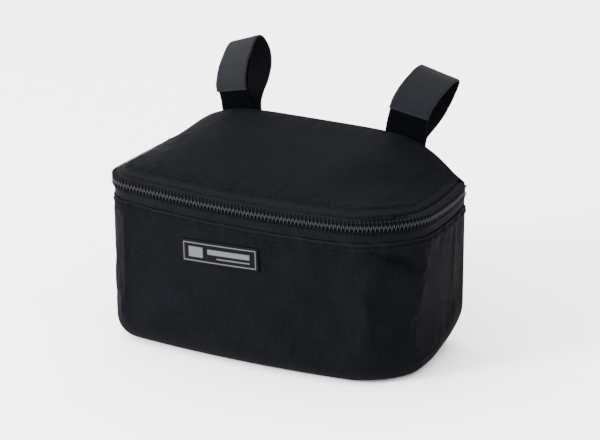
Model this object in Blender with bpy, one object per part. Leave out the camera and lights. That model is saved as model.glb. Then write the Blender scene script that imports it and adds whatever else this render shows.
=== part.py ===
"""A handlebar bag of padded cloth: a wrapped tub, a zipped lid and two strap loops.

The origin lies under the middle of the base. +Z is up, the front faces -Y,
and the straps stand on the back panel at +Y. Lengths are in metres.
"""

import math

import bpy
import numpy as np

# Tub
BAG_WIDTH = 0.220
BAG_DEPTH = 0.106
WALL = 0.003
LEFT_CORNER_RADIUS = 0.018
RIGHT_CORNER_RADIUS = 0.038
FRONT_BOW = 0.0085
LEFT_END_BOW = 0.0004
RIGHT_END_BOW = 0.0062
RIGHT_TAPER = 0.0040
BOTTOM_RADIUS = 0.016
BACK_BOTTOM_RADIUS = 0.030
SEAM_ROLL = 0.004

# Zip
ZIP_HEIGHT = 0.1130
ZIP_SAG = 0.0018
ZIP_TILT = 0.0015
COIL_HEIGHT = 0.0082
COIL_THICKNESS = 0.0028
TAPE_THICKNESS = 0.0012
TAPE_RECESS = 0.0014
TAPE_TUCK = 0.005
TAPE_STEP = 0.0028

# Hem of the tub under the zip
HEM_DROP = 0.0112
HEM_WIDTH = 0.006
HEM_PUFF = 0.0010

# Lid
LID_INSET = 0.005
LID_FOLD_RISE = 0.0075
LID_EDGE_ROLL = WALL + 0.0004
RIDGE_RISE = 0.0320
SLOPE_POWER = 1.32
SHOULDER_POWER = 5.4
SHOULDER_SOFTNESS = 1.30

# Straps
WEBBING_WIDTH = 0.030
WEBBING_THICKNESS = 0.0016
STRAP_SPACING = 0.127
STRAP_TAB = 0.026
LAYER_GAP = 0.0005
TWIST_DROP = 0.002
TWIST_LENGTH = 0.015
LEFT_LOOP_DEPTH = 0.0290
LEFT_LOOP_HEIGHT = 0.0430
RIGHT_LOOP_DEPTH = 0.0370
RIGHT_LOOP_HEIGHT = 0.0375

# Label and slider
LABEL_WIDTH = 0.0585
LABEL_HEIGHT = 0.0162
LABEL_THICKNESS = 0.0014
LABEL_RIM = 0.0010
LABEL_RIM_INSET = 0.0016
LABEL_RIM_HEIGHT = 0.0004
LABEL_OFFSET = 0.0165
LABEL_DROP = 0.0345
LABEL_TURN = math.radians(2.0)
SLIDER_LENGTH = 0.011
SLIDER_HEIGHT = 0.0082
SLIDER_THICKNESS = 0.0018
SLIDER_DROP = 0.0010
PULL_LENGTH = 0.026
PULL_WIDTH = 0.0065
SLIDER_SETBACK = 0.0075

CLEARANCE = 0.0003

# Steps of the surfaces along the bag's outline and along the webbing
OUTLINE_STEP = 0.013
WEBBING_STEP = 0.003

HALF_WIDTH = BAG_WIDTH / 2
HALF_DEPTH = BAG_DEPTH / 2
SEAM_Y = HALF_DEPTH - SEAM_ROLL - CLEARANCE

# Hollows (+) and swells (-) of the tub wall. Places along the wall are measured from the middle of
# the front, as shares of BAG_WIDTH; heights are shares of ZIP_HEIGHT; depth is a share of WALL.
# columns: along, height, half_length, half_width, turn in degrees, depth
WALL_DENTS = (
    (0.500, 0.775, 0.090, 0.024, -27, 1.50),
    (0.430, 0.660, 0.050, 0.040, -27, -0.60),
    (0.270, 0.37, 0.095, 0.120, 20, 1.35),
    (0.400, 0.50, 0.040, 0.150, 6, -0.70),
    (0.630, 0.30, 0.090, 0.090, 0, 0.90),
    (-0.300, 0.30, 0.110, 0.090, 0, -0.50),
    (0.100, 0.16, 0.170, 0.050, 0, -0.35),
    (-0.640, 0.45, 0.090, 0.120, 15, 0.70),
)

# Hollows and swells of the lid. Places are shares of BAG_WIDTH and BAG_DEPTH from the middle;
# lengths are shares of BAG_WIDTH; depth is a share of RIDGE_RISE.
# columns: across, back, half_length, half_width, turn in degrees, depth
LID_DENTS = (
    (0.350, -0.130, 0.150, 0.075, 55, 0.165),
    (-0.048, -0.360, 0.022, 0.016, 0, 0.045),
    (-0.200, 0.050, 0.200, 0.110, 10, -0.040),
    (0.080, 0.280, 0.160, 0.070, 0, 0.050),
)

# One strap loop per side: how it leans at its root and at its top, how it yaws, and the size of its loop.
# columns: name, side, root_lean in degrees, top_lean in degrees, yaw in degrees, loop_depth, loop_height
STRAPS = (
    ("strap_left", -1, 13, 21, -16, LEFT_LOOP_DEPTH, LEFT_LOOP_HEIGHT),
    ("strap_right", 1, -6, -13, -3, RIGHT_LOOP_DEPTH, RIGHT_LOOP_HEIGHT),
)

# Loop outlines, seen from the side: shares of loop_depth behind the back panel and of loop_height
# over the ridge. The front strand is the short strap, the rear one the long strap up to its turn.
# columns: depth, height
FRONT_STRANDS = {
    "strap_left": ((-0.01, 0.12), (-0.06, 0.23), (-0.06, 0.36), (0.03, 0.48), (0.16, 0.60), (0.33, 0.72)),
    "strap_right": ((0.03, 0.12), (0.05, 0.28), (0.08, 0.46), (0.17, 0.61), (0.31, 0.73), (0.48, 0.84)),
}
REAR_STRANDS = {
    "strap_left": ((0.34, 0.14), (0.64, 0.32), (0.88, 0.51), (1.00, 0.69), (1.01, 0.86), (0.94, 0.97),
                   (0.79, 0.98), (0.57, 0.90)),
    "strap_right": ((0.22, 0.04), (0.48, 0.14), (0.72, 0.31), (0.89, 0.52), (0.98, 0.73), (1.00, 0.89),
                    (0.93, 0.985), (0.80, 1.005), (0.64, 0.975)),
}

# Where the flap of the long strap lies over the short one, from its turn to its cut end.
FLAP_START = 0.98
FLAP_END = 0.64


def clear_scene():
    for old in list(bpy.data.objects):
        bpy.data.objects.remove(old, do_unlink=True)


def material(name, colour, roughness, metallic=0.0):
    made = bpy.data.materials.new(name)
    made.use_nodes = True
    shader = made.node_tree.nodes["Principled BSDF"]
    shader.inputs["Base Color"].default_value = (*colour, 1.0)
    shader.inputs["Roughness"].default_value = roughness
    shader.inputs["Metallic"].default_value = metallic
    return made


def mesh_object(name, points, faces, finish):
    """Make one object from its points and faces, with smooth shading up to 40 degree edges."""
    mesh = bpy.data.meshes.new(name)
    mesh.from_pydata([tuple(map(float, point)) for point in points], [], faces)
    mesh.materials.append(finish)
    mesh.shade_smooth()
    mesh.set_sharp_from_angle(angle=math.radians(40))
    made = bpy.data.objects.new(name, mesh)
    bpy.context.collection.objects.link(made)
    return made


def grid_object(name, grid, finish):
    """Make one sheet from rows of points, its front face to the right of each row's run."""
    rows, columns = grid.shape[:2]
    faces = []
    for row in range(rows - 1):
        for column in range(columns - 1):
            first = row * columns + column
            faces.append((first, first + 1, first + columns + 1, first + columns))
    return mesh_object(name, grid.reshape(-1, 3), faces, finish)


def padded_object(name, grid, thickness, finish):
    """Make a sheet and thicken it inwards, so that the grid stays its outer face."""
    made = grid_object(name, grid, finish)
    layer = made.modifiers.new("padding", "SOLIDIFY")
    layer.thickness = thickness
    layer.offset = -1.0
    return made


def swept_object(name, rings, finish):
    """Make a closed bar from equal rings of points, with flat ends."""
    count = rings.shape[1]
    faces = [tuple(range(count))]
    for ring in range(len(rings) - 1):
        for corner in range(count):
            following = (corner + 1) % count
            first = ring * count
            faces.append((first + corner, first + count + corner,
                          first + count + following, first + following))
    last = (len(rings) - 1) * count
    faces.append(tuple(last + corner for corner in reversed(range(count))))
    return mesh_object(name, rings.reshape(-1, 3), faces, finish)


def smooth_path(points, spacing):
    """Catmull-Rom curve through the points, resampled at an even spacing."""
    given = np.array(points, float)
    padded = np.vstack([2 * given[0] - given[1], given, 2 * given[-1] - given[-2]])
    dense = []
    for index in range(1, len(padded) - 2):
        before, start, end, after = padded[index - 1:index + 3]
        for share in np.linspace(0, 1, 12, endpoint=False):
            dense.append(0.5 * (2 * start + (end - before) * share
                                + (2 * before - 5 * start + 4 * end - after) * share ** 2
                                + (3 * start - before - 3 * end + after) * share ** 3))
    dense.append(given[-1])
    dense = np.array(dense)
    length = np.concatenate([[0], np.cumsum(np.linalg.norm(np.diff(dense, axis=0), axis=1))])
    count = max(int(round(length[-1] / spacing)), 2) + 1
    even = np.linspace(0, length[-1], count)
    return np.stack([np.interp(even, length, dense[:, axis]) for axis in (0, 1)], axis=1)


def path_normals(path):
    """Unit normals to the left of each point's direction along a flat path."""
    along = np.gradient(path, axis=0)
    along /= np.linalg.norm(along, axis=1)[:, None]
    return np.stack([-along[:, 1], along[:, 0]], axis=1)


def bowed_outline():
    """Outline of the tub in plan, from the back left seam round the front to the back right one."""
    front = -HALF_DEPTH
    left = LEFT_CORNER_RADIUS
    right = RIGHT_CORNER_RADIUS
    turn = np.linspace(0, math.pi / 2, 40)
    pieces = (
        np.stack([np.full(60, -HALF_WIDTH), np.linspace(SEAM_Y, front + left, 60)], axis=1),
        np.stack([-HALF_WIDTH + left - left * np.cos(turn), front + left - left * np.sin(turn)], axis=1),
        np.stack([np.linspace(-HALF_WIDTH + left, HALF_WIDTH - right, 160), np.full(160, front)], axis=1),
        np.stack([HALF_WIDTH - right + right * np.sin(turn), front + right - right * np.cos(turn)], axis=1),
        np.stack([np.full(60, HALF_WIDTH), np.linspace(front + right, SEAM_Y, 60)], axis=1),
    )
    points = np.concatenate([pieces[0]] + [piece[1:] for piece in pieces[1:]])
    across = points[:, 0] / HALF_WIDTH
    back = points[:, 1] / HALF_DEPTH
    points[:, 1] -= FRONT_BOW * (1 - across ** 2) * np.clip(-back, 0, 1) ** 2
    bow = np.where(across > 0, RIGHT_END_BOW, -LEFT_END_BOW)
    points[:, 0] += bow * (1 - back ** 2) * across ** 2
    return points


OUTLINE = bowed_outline()
OUTLINE_NORMALS = -path_normals(OUTLINE)
OUTLINE_RUN = np.concatenate([[0], np.cumsum(np.linalg.norm(np.diff(OUTLINE, axis=0), axis=1))])
OUTLINE_RUN -= np.interp(0, OUTLINE[80:-80, 0], OUTLINE_RUN[80:-80])
RUN_LEFT = OUTLINE_RUN[0]
RUN_RIGHT = OUTLINE_RUN[-1]


def outline_at(run):
    """Point and outward normal of the outline at a distance along it from the front's middle."""
    point = [np.interp(run, OUTLINE_RUN, OUTLINE[:, axis]) for axis in (0, 1)]
    normal = [np.interp(run, OUTLINE_RUN, OUTLINE_NORMALS[:, axis]) for axis in (0, 1)]
    normal = np.array(normal) / np.linalg.norm(normal)
    return np.array(point), normal


def outline_stations(step):
    """Places along the outline, closer together round the two front corners."""
    left_turn = math.pi / 2 * LEFT_CORNER_RADIUS
    right_turn = math.pi / 2 * RIGHT_CORNER_RADIUS
    front_left = -(HALF_WIDTH - LEFT_CORNER_RADIUS)
    front_right = HALF_WIDTH - RIGHT_CORNER_RADIUS
    marks = (RUN_LEFT, front_left - left_turn, front_left, front_right, front_right + right_turn, RUN_RIGHT)
    steps = (step, step / 2, step, step / 2, step)
    stations = [RUN_LEFT]
    for start, end, size in zip(marks[:-1], marks[1:], steps):
        count = max(int(round((end - start) / size)), 2)
        stations.extend(np.linspace(start, end, count + 1)[1:])
    return np.array(stations)


def zip_level(x):
    """Height of the middle of the zip, which sags along the front and tilts a little to the right."""
    across = x / HALF_WIDTH
    return ZIP_HEIGHT - ZIP_SAG * (1 - across ** 2) - ZIP_TILT * across


def seam_level(x):
    """Height of the zip's ends where they meet the back panel, and of the line between them."""
    return ZIP_HEIGHT - ZIP_TILT * x / HALF_WIDTH


def bottom_radius(y):
    """Radius of the tub's lower edge, which grows along the ends towards the back."""
    start = -HALF_DEPTH + RIGHT_CORNER_RADIUS
    share = np.clip((y - start) / (SEAM_Y - start), 0, 1)
    return BOTTOM_RADIUS + (BACK_BOTTOM_RADIUS - BOTTOM_RADIUS) * share ** 2


def dent_depth(table, across, height, size_across, size_height, size_length):
    """Sum of the soft hollows of a table at one place."""
    depth = 0.0
    for place, level, half_length, half_width, turn, deep in table:
        offset = across - place * size_across
        rise = height - level * size_height
        angle = math.radians(turn)
        along = (offset * math.cos(angle) + rise * math.sin(angle)) / (half_length * size_length)
        aside = (rise * math.cos(angle) - offset * math.sin(angle)) / (half_width * size_length)
        depth += deep * math.exp(-along ** 2 - aside ** 2)
    return depth


def wall_offset(run, z, top):
    """How far the tub wall stands out of the outline: dents, the right end's taper and the puffed hem."""
    out = -WALL * dent_depth(WALL_DENTS, run, z, BAG_WIDTH, ZIP_HEIGHT, BAG_WIDTH)
    round_end = np.clip((run - HALF_WIDTH + RIGHT_CORNER_RADIUS) / BAG_DEPTH * 2, 0, 1)
    out -= RIGHT_TAPER * round_end * max(1 - z / ZIP_HEIGHT, 0) ** 1.5
    fade = np.clip((top - HEM_WIDTH - z) / HEM_WIDTH, 0, 1)
    seam = np.clip(min(run - RUN_LEFT, RUN_RIGHT - run) / BACK_BOTTOM_RADIUS, 0, 1)
    hem = np.clip((z - top + HEM_WIDTH) / HEM_WIDTH, 0, 1)
    return out * fade * seam + HEM_PUFF * math.sin(math.pi * hem) ** 0.7


def wall_point(run, z):
    """Point of the tub wall's outer face, above its rounded lower edge."""
    point, normal = outline_at(run)
    out = wall_offset(run, z, zip_level(point[0]) - HEM_DROP)
    return np.array([*(point + normal * out), z]), np.array([*normal, 0.0])


def front_wrap(finish):
    """The front and both ends: one padded panel, curled under at its foot and hemmed at its top."""
    turns = np.radians((0, 5, 22, 45, 68, 90))
    levels = (0.12, 0.26, 0.40, 0.54, 0.68, 0.82, 0.93)
    hem_levels = (0.0, 0.10, 0.35, 0.65, 0.90, 1.0)
    columns = []
    for run in outline_stations(OUTLINE_STEP):
        point, normal = outline_at(run)
        radius = bottom_radius(point[1])
        top = zip_level(point[0]) - HEM_DROP
        hem = top - HEM_WIDTH
        column = []
        for turn in turns:
            z = radius * (1 - math.cos(turn))
            out = -radius * (1 - math.sin(turn))
            lift = wall_offset(run, z, top) * math.sin(turn) ** 2
            column.append((*(point + normal * (out + lift)), z))
        for level in levels:
            z = radius + (hem - radius) * level
            column.append(wall_point(run, z)[0])
        for level in hem_levels:
            column.append(wall_point(run, hem + HEM_WIDTH * level)[0])
        columns.append(column)
    grid = np.array(columns).transpose(1, 0, 2)
    return padded_object("front_wrap", grid, WALL, finish)


def base_panel(finish):
    """The flat panel that the bag stands on, inside the curled foot of the wrap."""
    outline = []
    for run in outline_stations(OUTLINE_STEP):
        point, normal = outline_at(run)
        outline.append(point - normal * (bottom_radius(point[1]) + CLEARANCE))
    outline = np.array(outline)
    rings = [np.column_stack([outline, np.full(len(outline), z)]) for z in (WALL, 0.0)]
    return swept_object("base_panel", np.array(rings), finish)


def lid_front(x):
    """Front edge of the lid over the bowed front, before its corners turn."""
    return -HALF_DEPTH + LID_INSET - FRONT_BOW * (1 - (x / HALF_WIDTH) ** 2)


def shoulder(x):
    """Share of the ridge's height that is left towards the ends of the lid."""
    across = min(abs(x) / (HALF_WIDTH - LID_INSET), 1.0)
    return (1 - across ** SHOULDER_POWER) ** SHOULDER_SOFTNESS


def ridge_level(x):
    return seam_level(x) + LID_FOLD_RISE + (RIDGE_RISE - LID_FOLD_RISE) * shoulder(x)


def lid_level(x, y):
    """Height of the lid's outer face: a slope from the front edge up to the ridge at the back."""
    front = lid_front(x)
    share = np.clip((y - front) / (SEAM_Y - front), 0, 1)
    slope = 1 - (1 - share) ** SLOPE_POWER
    fold = zip_level(x) * (1 - share) + seam_level(x) * share + LID_FOLD_RISE
    dent = RIDGE_RISE * dent_depth(LID_DENTS, x, y, BAG_WIDTH, BAG_DEPTH, BAG_WIDTH)
    fade = math.sin(math.pi * min(share, 1 - share)) * shoulder(x)
    return fold + (RIDGE_RISE - LID_FOLD_RISE) * slope * shoulder(x) - dent * fade


def distance_to_path(point, path):
    """Shortest distance from a flat point to a path of straight steps."""
    steps = np.diff(path, axis=0)
    away = point - path[:-1]
    share = np.clip((away * steps).sum(axis=1) / (steps ** 2).sum(axis=1), 0, 1)
    return np.linalg.norm(away - steps * share[:, None], axis=1).min()


def inset_outline(inset):
    """The outline moved inwards, cut off at the back seam."""
    return OUTLINE - OUTLINE_NORMALS * inset


def resampled(points, shares):
    """Points at given shares of a path's length."""
    length = np.concatenate([[0], np.cumsum(np.linalg.norm(np.diff(points, axis=0), axis=1))])
    places = np.array(shares) * length[-1]
    return np.stack([np.interp(places, length, points[:, axis]) for axis in (0, 1)], axis=1)


def lid_plan(inset, back, across, along):
    """Rows of points that fill the lid's outline, parallel to its edges."""
    edge = inset_outline(inset)
    edge[0, 1] = back
    edge[-1, 1] = back
    corner_left = np.argmin(edge[:, 0] + edge[:, 1])
    corner_right = np.argmax(edge[:, 0] - edge[:, 1])
    left = resampled(edge[:corner_left + 1][::-1], along)
    front = resampled(edge[corner_left:corner_right + 1], across)
    right = resampled(edge[corner_right:], along)
    rear = left[-1] + np.array(across)[:, None] * (right[-1] - left[-1])
    rows = []
    for row, share in enumerate(along):
        line = (1 - share) * front + share * rear
        for column, place in enumerate(across):
            line[column] += (1 - place) * left[row] + place * right[row]
            line[column] -= (1 - share) * ((1 - place) * front[0] + place * front[-1])
            line[column] -= share * ((1 - place) * rear[0] + place * rear[-1])
        rows.append(line)
    return np.array(rows)


def graded(count, first):
    """Shares from 0 to 1 with short first and last steps."""
    middle = np.linspace(first[-1], 1 - first[-1], count)[1:-1]
    return np.concatenate([[0.0], first, middle, 1 - np.array(first[::-1]), [1.0]])


def lid_panel(finish):
    """The domed lid: one padded panel, folded under along the zip and sewn in at the ridge."""
    roll = LID_EDGE_ROLL * (1 - np.cos(np.radians((6, 40, 65, 90))))
    across = graded(14, roll / BAG_WIDTH)
    along = np.concatenate([[0.0], roll / BAG_DEPTH, np.linspace(roll[-1] / BAG_DEPTH, 1, 10)[1:]])
    plan = lid_plan(LID_INSET, SEAM_Y - 2 * CLEARANCE, across, along)
    edge = inset_outline(LID_INSET)
    grid = np.zeros((*plan.shape[:2], 3))
    for row in range(plan.shape[0]):
        for column in range(plan.shape[1]):
            x, y = plan[row, column]
            inward = distance_to_path(plan[row, column], edge)
            turned = max(1 - inward / LID_EDGE_ROLL, 0)
            drop = LID_EDGE_ROLL * (1 - math.sqrt(max(1 - turned ** 2, 0)))
            grid[row, column] = (x, y, lid_level(x, y) - drop)
    return padded_object("lid_panel", grid, WALL, finish)


def back_top(x):
    """Top edge of the back panel: the ridge, and a step down to the zip beyond the lid's ends."""
    beyond = np.clip((abs(x) - HALF_WIDTH + LID_INSET) / LID_INSET, 0, 1)
    return ridge_level(x) - beyond * (LID_FOLD_RISE - COIL_HEIGHT / 2)


def back_foot(x):
    """Lower edge of the back panel, with its rounded corners."""
    over = max(abs(x) - (HALF_WIDTH - BACK_BOTTOM_RADIUS), 0)
    return BACK_BOTTOM_RADIUS - math.sqrt(max(BACK_BOTTOM_RADIUS ** 2 - over ** 2, 0))


def back_inward(x, z):
    """Distance from a point of the back panel to the nearest edge."""
    over = abs(x) - (HALF_WIDTH - BACK_BOTTOM_RADIUS)
    under = BACK_BOTTOM_RADIUS - z
    side = HALF_WIDTH - abs(x)
    if over > 0 and under > 0:
        side = BACK_BOTTOM_RADIUS - math.hypot(over, under)
    slope = (back_top(x + CLEARANCE) - back_top(x - CLEARANCE)) / (2 * CLEARANCE)
    return max(min(side, z, (back_top(x) - z) / math.hypot(1, slope)), 0)


def back_panel(finish):
    """The stiff flat back, up to the ridge, with its edge rolled forward to the seams."""
    roll = SEAM_ROLL * (1 - np.cos(np.radians((6, 30, 60, 90))))
    sides = roll / BAG_WIDTH
    corner = BACK_BOTTOM_RADIUS / BAG_WIDTH
    wide = np.concatenate([[0.0], sides, np.linspace(sides[-1], corner, 4)[1:-1],
                           np.linspace(corner, 1 - corner, 12)])
    wide = np.concatenate([wide, 1 - wide[:len(wide) - 12][::-1]])
    columns = []
    for share in wide:
        x = (share - 0.5) * BAG_WIDTH
        foot, top = back_foot(x), back_top(x)
        inner = np.linspace(foot + roll[-1], top - roll[-1], 9)[1:-1]
        levels = np.concatenate([[foot], foot + roll, inner, top - roll[::-1], [top]])
        column = []
        for z in levels:
            turned = max(1 - back_inward(x, z) / SEAM_ROLL, 0)
            column.append((x, HALF_DEPTH - SEAM_ROLL * (1 - math.sqrt(max(1 - turned ** 2, 0))), z))
        columns.append(column)
    grid = np.array(columns)
    return padded_object("back_panel", grid, WALL, finish)


def swept_section(name, section, finish):
    """Sweep a section of (out, up) points along the zip. Up is measured from the zip's middle."""
    rings = []
    for run in outline_stations(OUTLINE_STEP):
        point, normal = outline_at(run)
        level = zip_level(point[0])
        rings.append([(*(point + normal * out), level + up) for out, up in section])
    return swept_object(name, np.array(rings), finish)


def lower_tape(finish):
    """Tape of the zip's lower half, which runs down behind the hem of the wrap."""
    face = -TAPE_RECESS
    hidden = -WALL - CLEARANCE
    tuck = -HEM_DROP - TAPE_TUCK
    bend = -HEM_DROP + TAPE_STEP
    section = (
        (face - TAPE_THICKNESS, -CLEARANCE), (face - TAPE_THICKNESS, bend + TAPE_THICKNESS / 2),
        (hidden - TAPE_THICKNESS, -HEM_DROP + TAPE_THICKNESS / 2), (hidden - TAPE_THICKNESS, tuck),
        (hidden, tuck), (hidden, -HEM_DROP), (face, bend), (face, -CLEARANCE),
    )
    return swept_section("zip_tape_lower", section, finish)


def upper_tape(finish):
    """Tape of the zip's upper half, which turns in under the edge of the lid."""
    face = -TAPE_RECESS
    shelf = LID_FOLD_RISE - LID_EDGE_ROLL - 2.5 * CLEARANCE
    inner = -LID_INSET - TAPE_TUCK
    section = (
        (face, CLEARANCE), (face, shelf - TAPE_THICKNESS), (-LID_INSET, shelf), (inner, shelf),
        (inner, shelf - TAPE_THICKNESS), (-LID_INSET, shelf - TAPE_THICKNESS),
        (face - TAPE_THICKNESS, shelf - 2 * TAPE_THICKNESS), (face - TAPE_THICKNESS, CLEARANCE),
    )
    return swept_section("zip_tape_upper", section, finish)


def zip_coil(name, side, finish):
    """One half of the zip's coil, sewn on the face of its tape."""
    inner = -TAPE_RECESS + CLEARANCE
    outer = inner + COIL_THICKNESS
    low = CLEARANCE * side
    high = COIL_HEIGHT / 2 * side
    shape = ((inner, low), (outer, low), (outer, high * 0.55), (inner + COIL_THICKNESS * 0.62, high * 0.9),
             (inner, high))
    section = shape[::side]
    return swept_section(name, section, finish)


def zip_slider(finish):
    """Slider and pull of the zip in one plain piece, closed at the left end near the back."""
    point, normal = outline_at(RUN_LEFT + SLIDER_SETBACK)
    face = max(COIL_THICKNESS - TAPE_RECESS + CLEARANCE, HEM_PUFF) + CLEARANCE
    half = SLIDER_LENGTH / 2
    pull = PULL_WIDTH / 2
    head = SLIDER_HEIGHT / 2
    outline = ((-half, head), (-half, -head), (-pull, -head * 1.3), (-pull * 0.8, -head - PULL_LENGTH),
               (pull * 0.8, -head - PULL_LENGTH), (pull, -head * 1.3), (half, -head), (half, head))
    level = zip_level(point[0]) - SLIDER_DROP
    along = np.array([-normal[1], normal[0]])
    rings = []
    for out in (face + SLIDER_THICKNESS, face):
        rings.append([(*(point + normal * out + along * place), level + up) for place, up in outline])
    made = swept_object("zip_slider", np.array(rings), finish)
    rounding = made.modifiers.new("rounding", "BEVEL")
    rounding.width = SLIDER_THICKNESS * 0.25
    rounding.segments = 2
    return made


def label_patch(finish):
    """Moulded rubber patch with a raised rim, sewn flat on the bowed front."""
    rim = np.array((LABEL_RIM_INSET, LABEL_RIM_INSET * 1.15, LABEL_RIM_INSET + LABEL_RIM * 0.85,
                    LABEL_RIM_INSET + LABEL_RIM))
    places = graded(9, rim / LABEL_WIDTH)
    levels = graded(5, rim / LABEL_HEIGHT)
    faces = []
    backs = []
    for level in levels:
        for place in places:
            across = (place - 0.5) * LABEL_WIDTH
            up = (level - 0.5) * LABEL_HEIGHT
            run = -LABEL_OFFSET + across * math.cos(LABEL_TURN) - up * math.sin(LABEL_TURN)
            z = ZIP_HEIGHT - LABEL_DROP + up * math.cos(LABEL_TURN) + across * math.sin(LABEL_TURN)
            point, normal = wall_point(run, z)
            edge = min(place, 1 - place) * LABEL_WIDTH
            edge = min(edge, min(level, 1 - level) * LABEL_HEIGHT)
            raised = LABEL_RIM_HEIGHT if rim[1] - CLEARANCE / 10 < edge < rim[2] + CLEARANCE / 10 else 0
            backs.append(point + normal * CLEARANCE)
            faces.append(point + normal * (CLEARANCE + LABEL_THICKNESS + raised))
    return block_object("label_patch", faces, backs, len(levels), len(places), finish)


def block_object(name, front, back, rows, columns, finish):
    """Make a closed plate from two equal grids of points."""
    faces = []
    offset = rows * columns
    for row in range(rows - 1):
        for column in range(columns - 1):
            first = row * columns + column
            quad = (first, first + 1, first + columns + 1, first + columns)
            faces.append(quad)
            faces.append(tuple(offset + corner for corner in reversed(quad)))
    border = list(range(columns))
    border += [row * columns + columns - 1 for row in range(1, rows)]
    border += [(rows - 1) * columns + column for column in range(columns - 2, -1, -1)]
    border += [row * columns for row in range(rows - 2, 0, -1)]
    for corner, following in zip(border, border[1:] + border[:1]):
        faces.append((following, corner, offset + corner, offset + following))
    return mesh_object(name, list(front) + list(back), faces, finish)


def strap_frame(root_lean, top_lean, yaw, loop_height, height):
    """Width, depth and rise directions of a strap, which leans and twists as it leaves the panel."""
    risen = min(max(height / loop_height, 0), 1)
    tilt = math.radians(root_lean + (top_lean - root_lean) * risen)
    share = min(max((height + TWIST_DROP) / TWIST_LENGTH, 0), 1)
    twist = math.radians(yaw) * share * share * (3 - 2 * share)
    level = np.array([math.cos(tilt), 0, math.sin(tilt)])
    depth = np.array([0, 1, 0])
    rise = np.array([-math.sin(tilt), 0, math.cos(tilt)])
    width = math.cos(twist) * level + math.sin(twist) * depth
    back = -math.sin(twist) * level + math.cos(twist) * depth
    return width, back, rise


def ribbon(name, path, base, turning, finish):
    """Make one strip of webbing from its middle line seen from the side."""
    normals = path_normals(path)
    rings = []
    for (depth, height), (out, up) in zip(path, normals):
        width, back, rise = strap_frame(*turning, height)
        middle = base + back * depth + rise * height
        thick = (back * out + rise * up) * WEBBING_THICKNESS / 2
        half = width * WEBBING_WIDTH / 2
        rings.append([middle - half - thick, middle + half - thick, middle + half + thick, middle - half + thick])
    return swept_object(name, np.array(rings), finish)


def strap_loop(name, side, root_lean, top_lean, yaw, loop_depth, loop_height, webbing, pile):
    """A short pile strap and a long strap round it, both sewn to the back panel under the ridge."""
    x = side * STRAP_SPACING / 2
    base = np.array([x, HALF_DEPTH + CLEARANCE, ridge_level(x)])
    size = np.array([loop_depth, loop_height])
    turning = (root_lean, top_lean, yaw, loop_height)
    first = WEBBING_THICKNESS / 2
    second = first + WEBBING_THICKNESS + LAYER_GAP
    straight = STRAP_TAB * 0.5
    front = [(first, -STRAP_TAB), (first, -straight), (first, -WEBBING_THICKNESS)]
    front += [tuple(np.array(row) * size) for row in FRONT_STRANDS[name]]
    short = smooth_path(front, WEBBING_STEP)
    ribbon(name + "_short", short, base, turning, pile)
    outside = path_normals(short) * (WEBBING_THICKNESS + LAYER_GAP)
    covered = [short[int(share * (len(short) - 1))] + outside[int(share * (len(short) - 1))]
               for share in np.linspace(FLAP_START, FLAP_END, 6)]
    rear = [(second, -STRAP_TAB), (second, -straight), (second + LAYER_GAP, -WEBBING_THICKNESS)]
    rear += [tuple(np.array(row) * size) for row in REAR_STRANDS[name]]
    long = smooth_path(rear + [tuple(point) for point in covered], WEBBING_STEP)
    ribbon(name + "_long", long, base, turning, webbing)


def build():
    clear_scene()
    cloth = material("padded_cloth", (0.0165, 0.0175, 0.0215), 0.72)
    under = material("base_cloth", (0.0130, 0.0138, 0.0170), 0.78)
    tape = material("zip_tape", (0.0100, 0.0105, 0.0125), 0.70)
    coil = material("zip_coil", (0.0230, 0.0235, 0.0260), 0.35)
    pull = material("zip_slider", (0.0300, 0.0300, 0.0320), 0.40, 0.6)
    rubber = material("label_rubber", (0.0280, 0.0290, 0.0320), 0.45)
    webbing = material("webbing", (0.0400, 0.0420, 0.0470), 0.62)
    pile = material("pile_tape", (0.0075, 0.0078, 0.0090), 0.90)
    front_wrap(cloth)
    base_panel(under)
    back_panel(cloth)
    lid_panel(cloth)
    lower_tape(tape)
    upper_tape(tape)
    zip_coil("zip_coil_lower", -1, coil)
    zip_coil("zip_coil_upper", 1, coil)
    zip_slider(pull)
    label_patch(rubber)
    for strap in STRAPS:
        strap_loop(*strap, webbing, pile)


build()
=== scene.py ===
import math

import bpy
import numpy as np
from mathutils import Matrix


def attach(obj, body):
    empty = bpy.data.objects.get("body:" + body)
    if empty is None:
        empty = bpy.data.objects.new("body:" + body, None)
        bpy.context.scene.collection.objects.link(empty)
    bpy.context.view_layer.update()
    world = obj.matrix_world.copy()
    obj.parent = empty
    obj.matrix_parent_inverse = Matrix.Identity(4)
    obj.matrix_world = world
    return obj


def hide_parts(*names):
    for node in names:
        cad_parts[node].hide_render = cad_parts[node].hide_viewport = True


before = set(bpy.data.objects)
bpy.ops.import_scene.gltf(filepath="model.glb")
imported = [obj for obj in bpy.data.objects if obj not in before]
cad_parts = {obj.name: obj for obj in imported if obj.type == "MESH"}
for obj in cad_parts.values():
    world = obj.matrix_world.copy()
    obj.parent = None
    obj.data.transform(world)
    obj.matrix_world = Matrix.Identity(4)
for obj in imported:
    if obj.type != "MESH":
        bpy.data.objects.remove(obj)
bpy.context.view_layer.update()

# The tub. One padded panel of dark woven polyester over thin foam is wrapped round the front and both ends.
# Its foot is curled under to the base, and its top edge is folded in and topstitched below the zip.
BAG_WIDTH = 0.220
BAG_DEPTH = 0.106
WALL = 0.003
LEFT_CORNER_RADIUS = 0.018
RIGHT_CORNER_RADIUS = 0.038
FRONT_BOW = 0.0085
LEFT_END_BOW = 0.0004
RIGHT_END_BOW = 0.0062
RIGHT_TAPER = 0.0040
BOTTOM_RADIUS = 0.016
BACK_BOTTOM_RADIUS = 0.030
SEAM_ROLL = 0.004
SEAM_GAP = 0.0003
ZIP_HEIGHT = 0.1130
ZIP_SAG = 0.0018
ZIP_TILT = 0.0015
HEM_DROP = 0.0112
HEM_WIDTH = 0.006
HEM_PUFF = 0.0010
HEM_FOLD = 0.0009
HEM_STITCH = 0.0024
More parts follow.
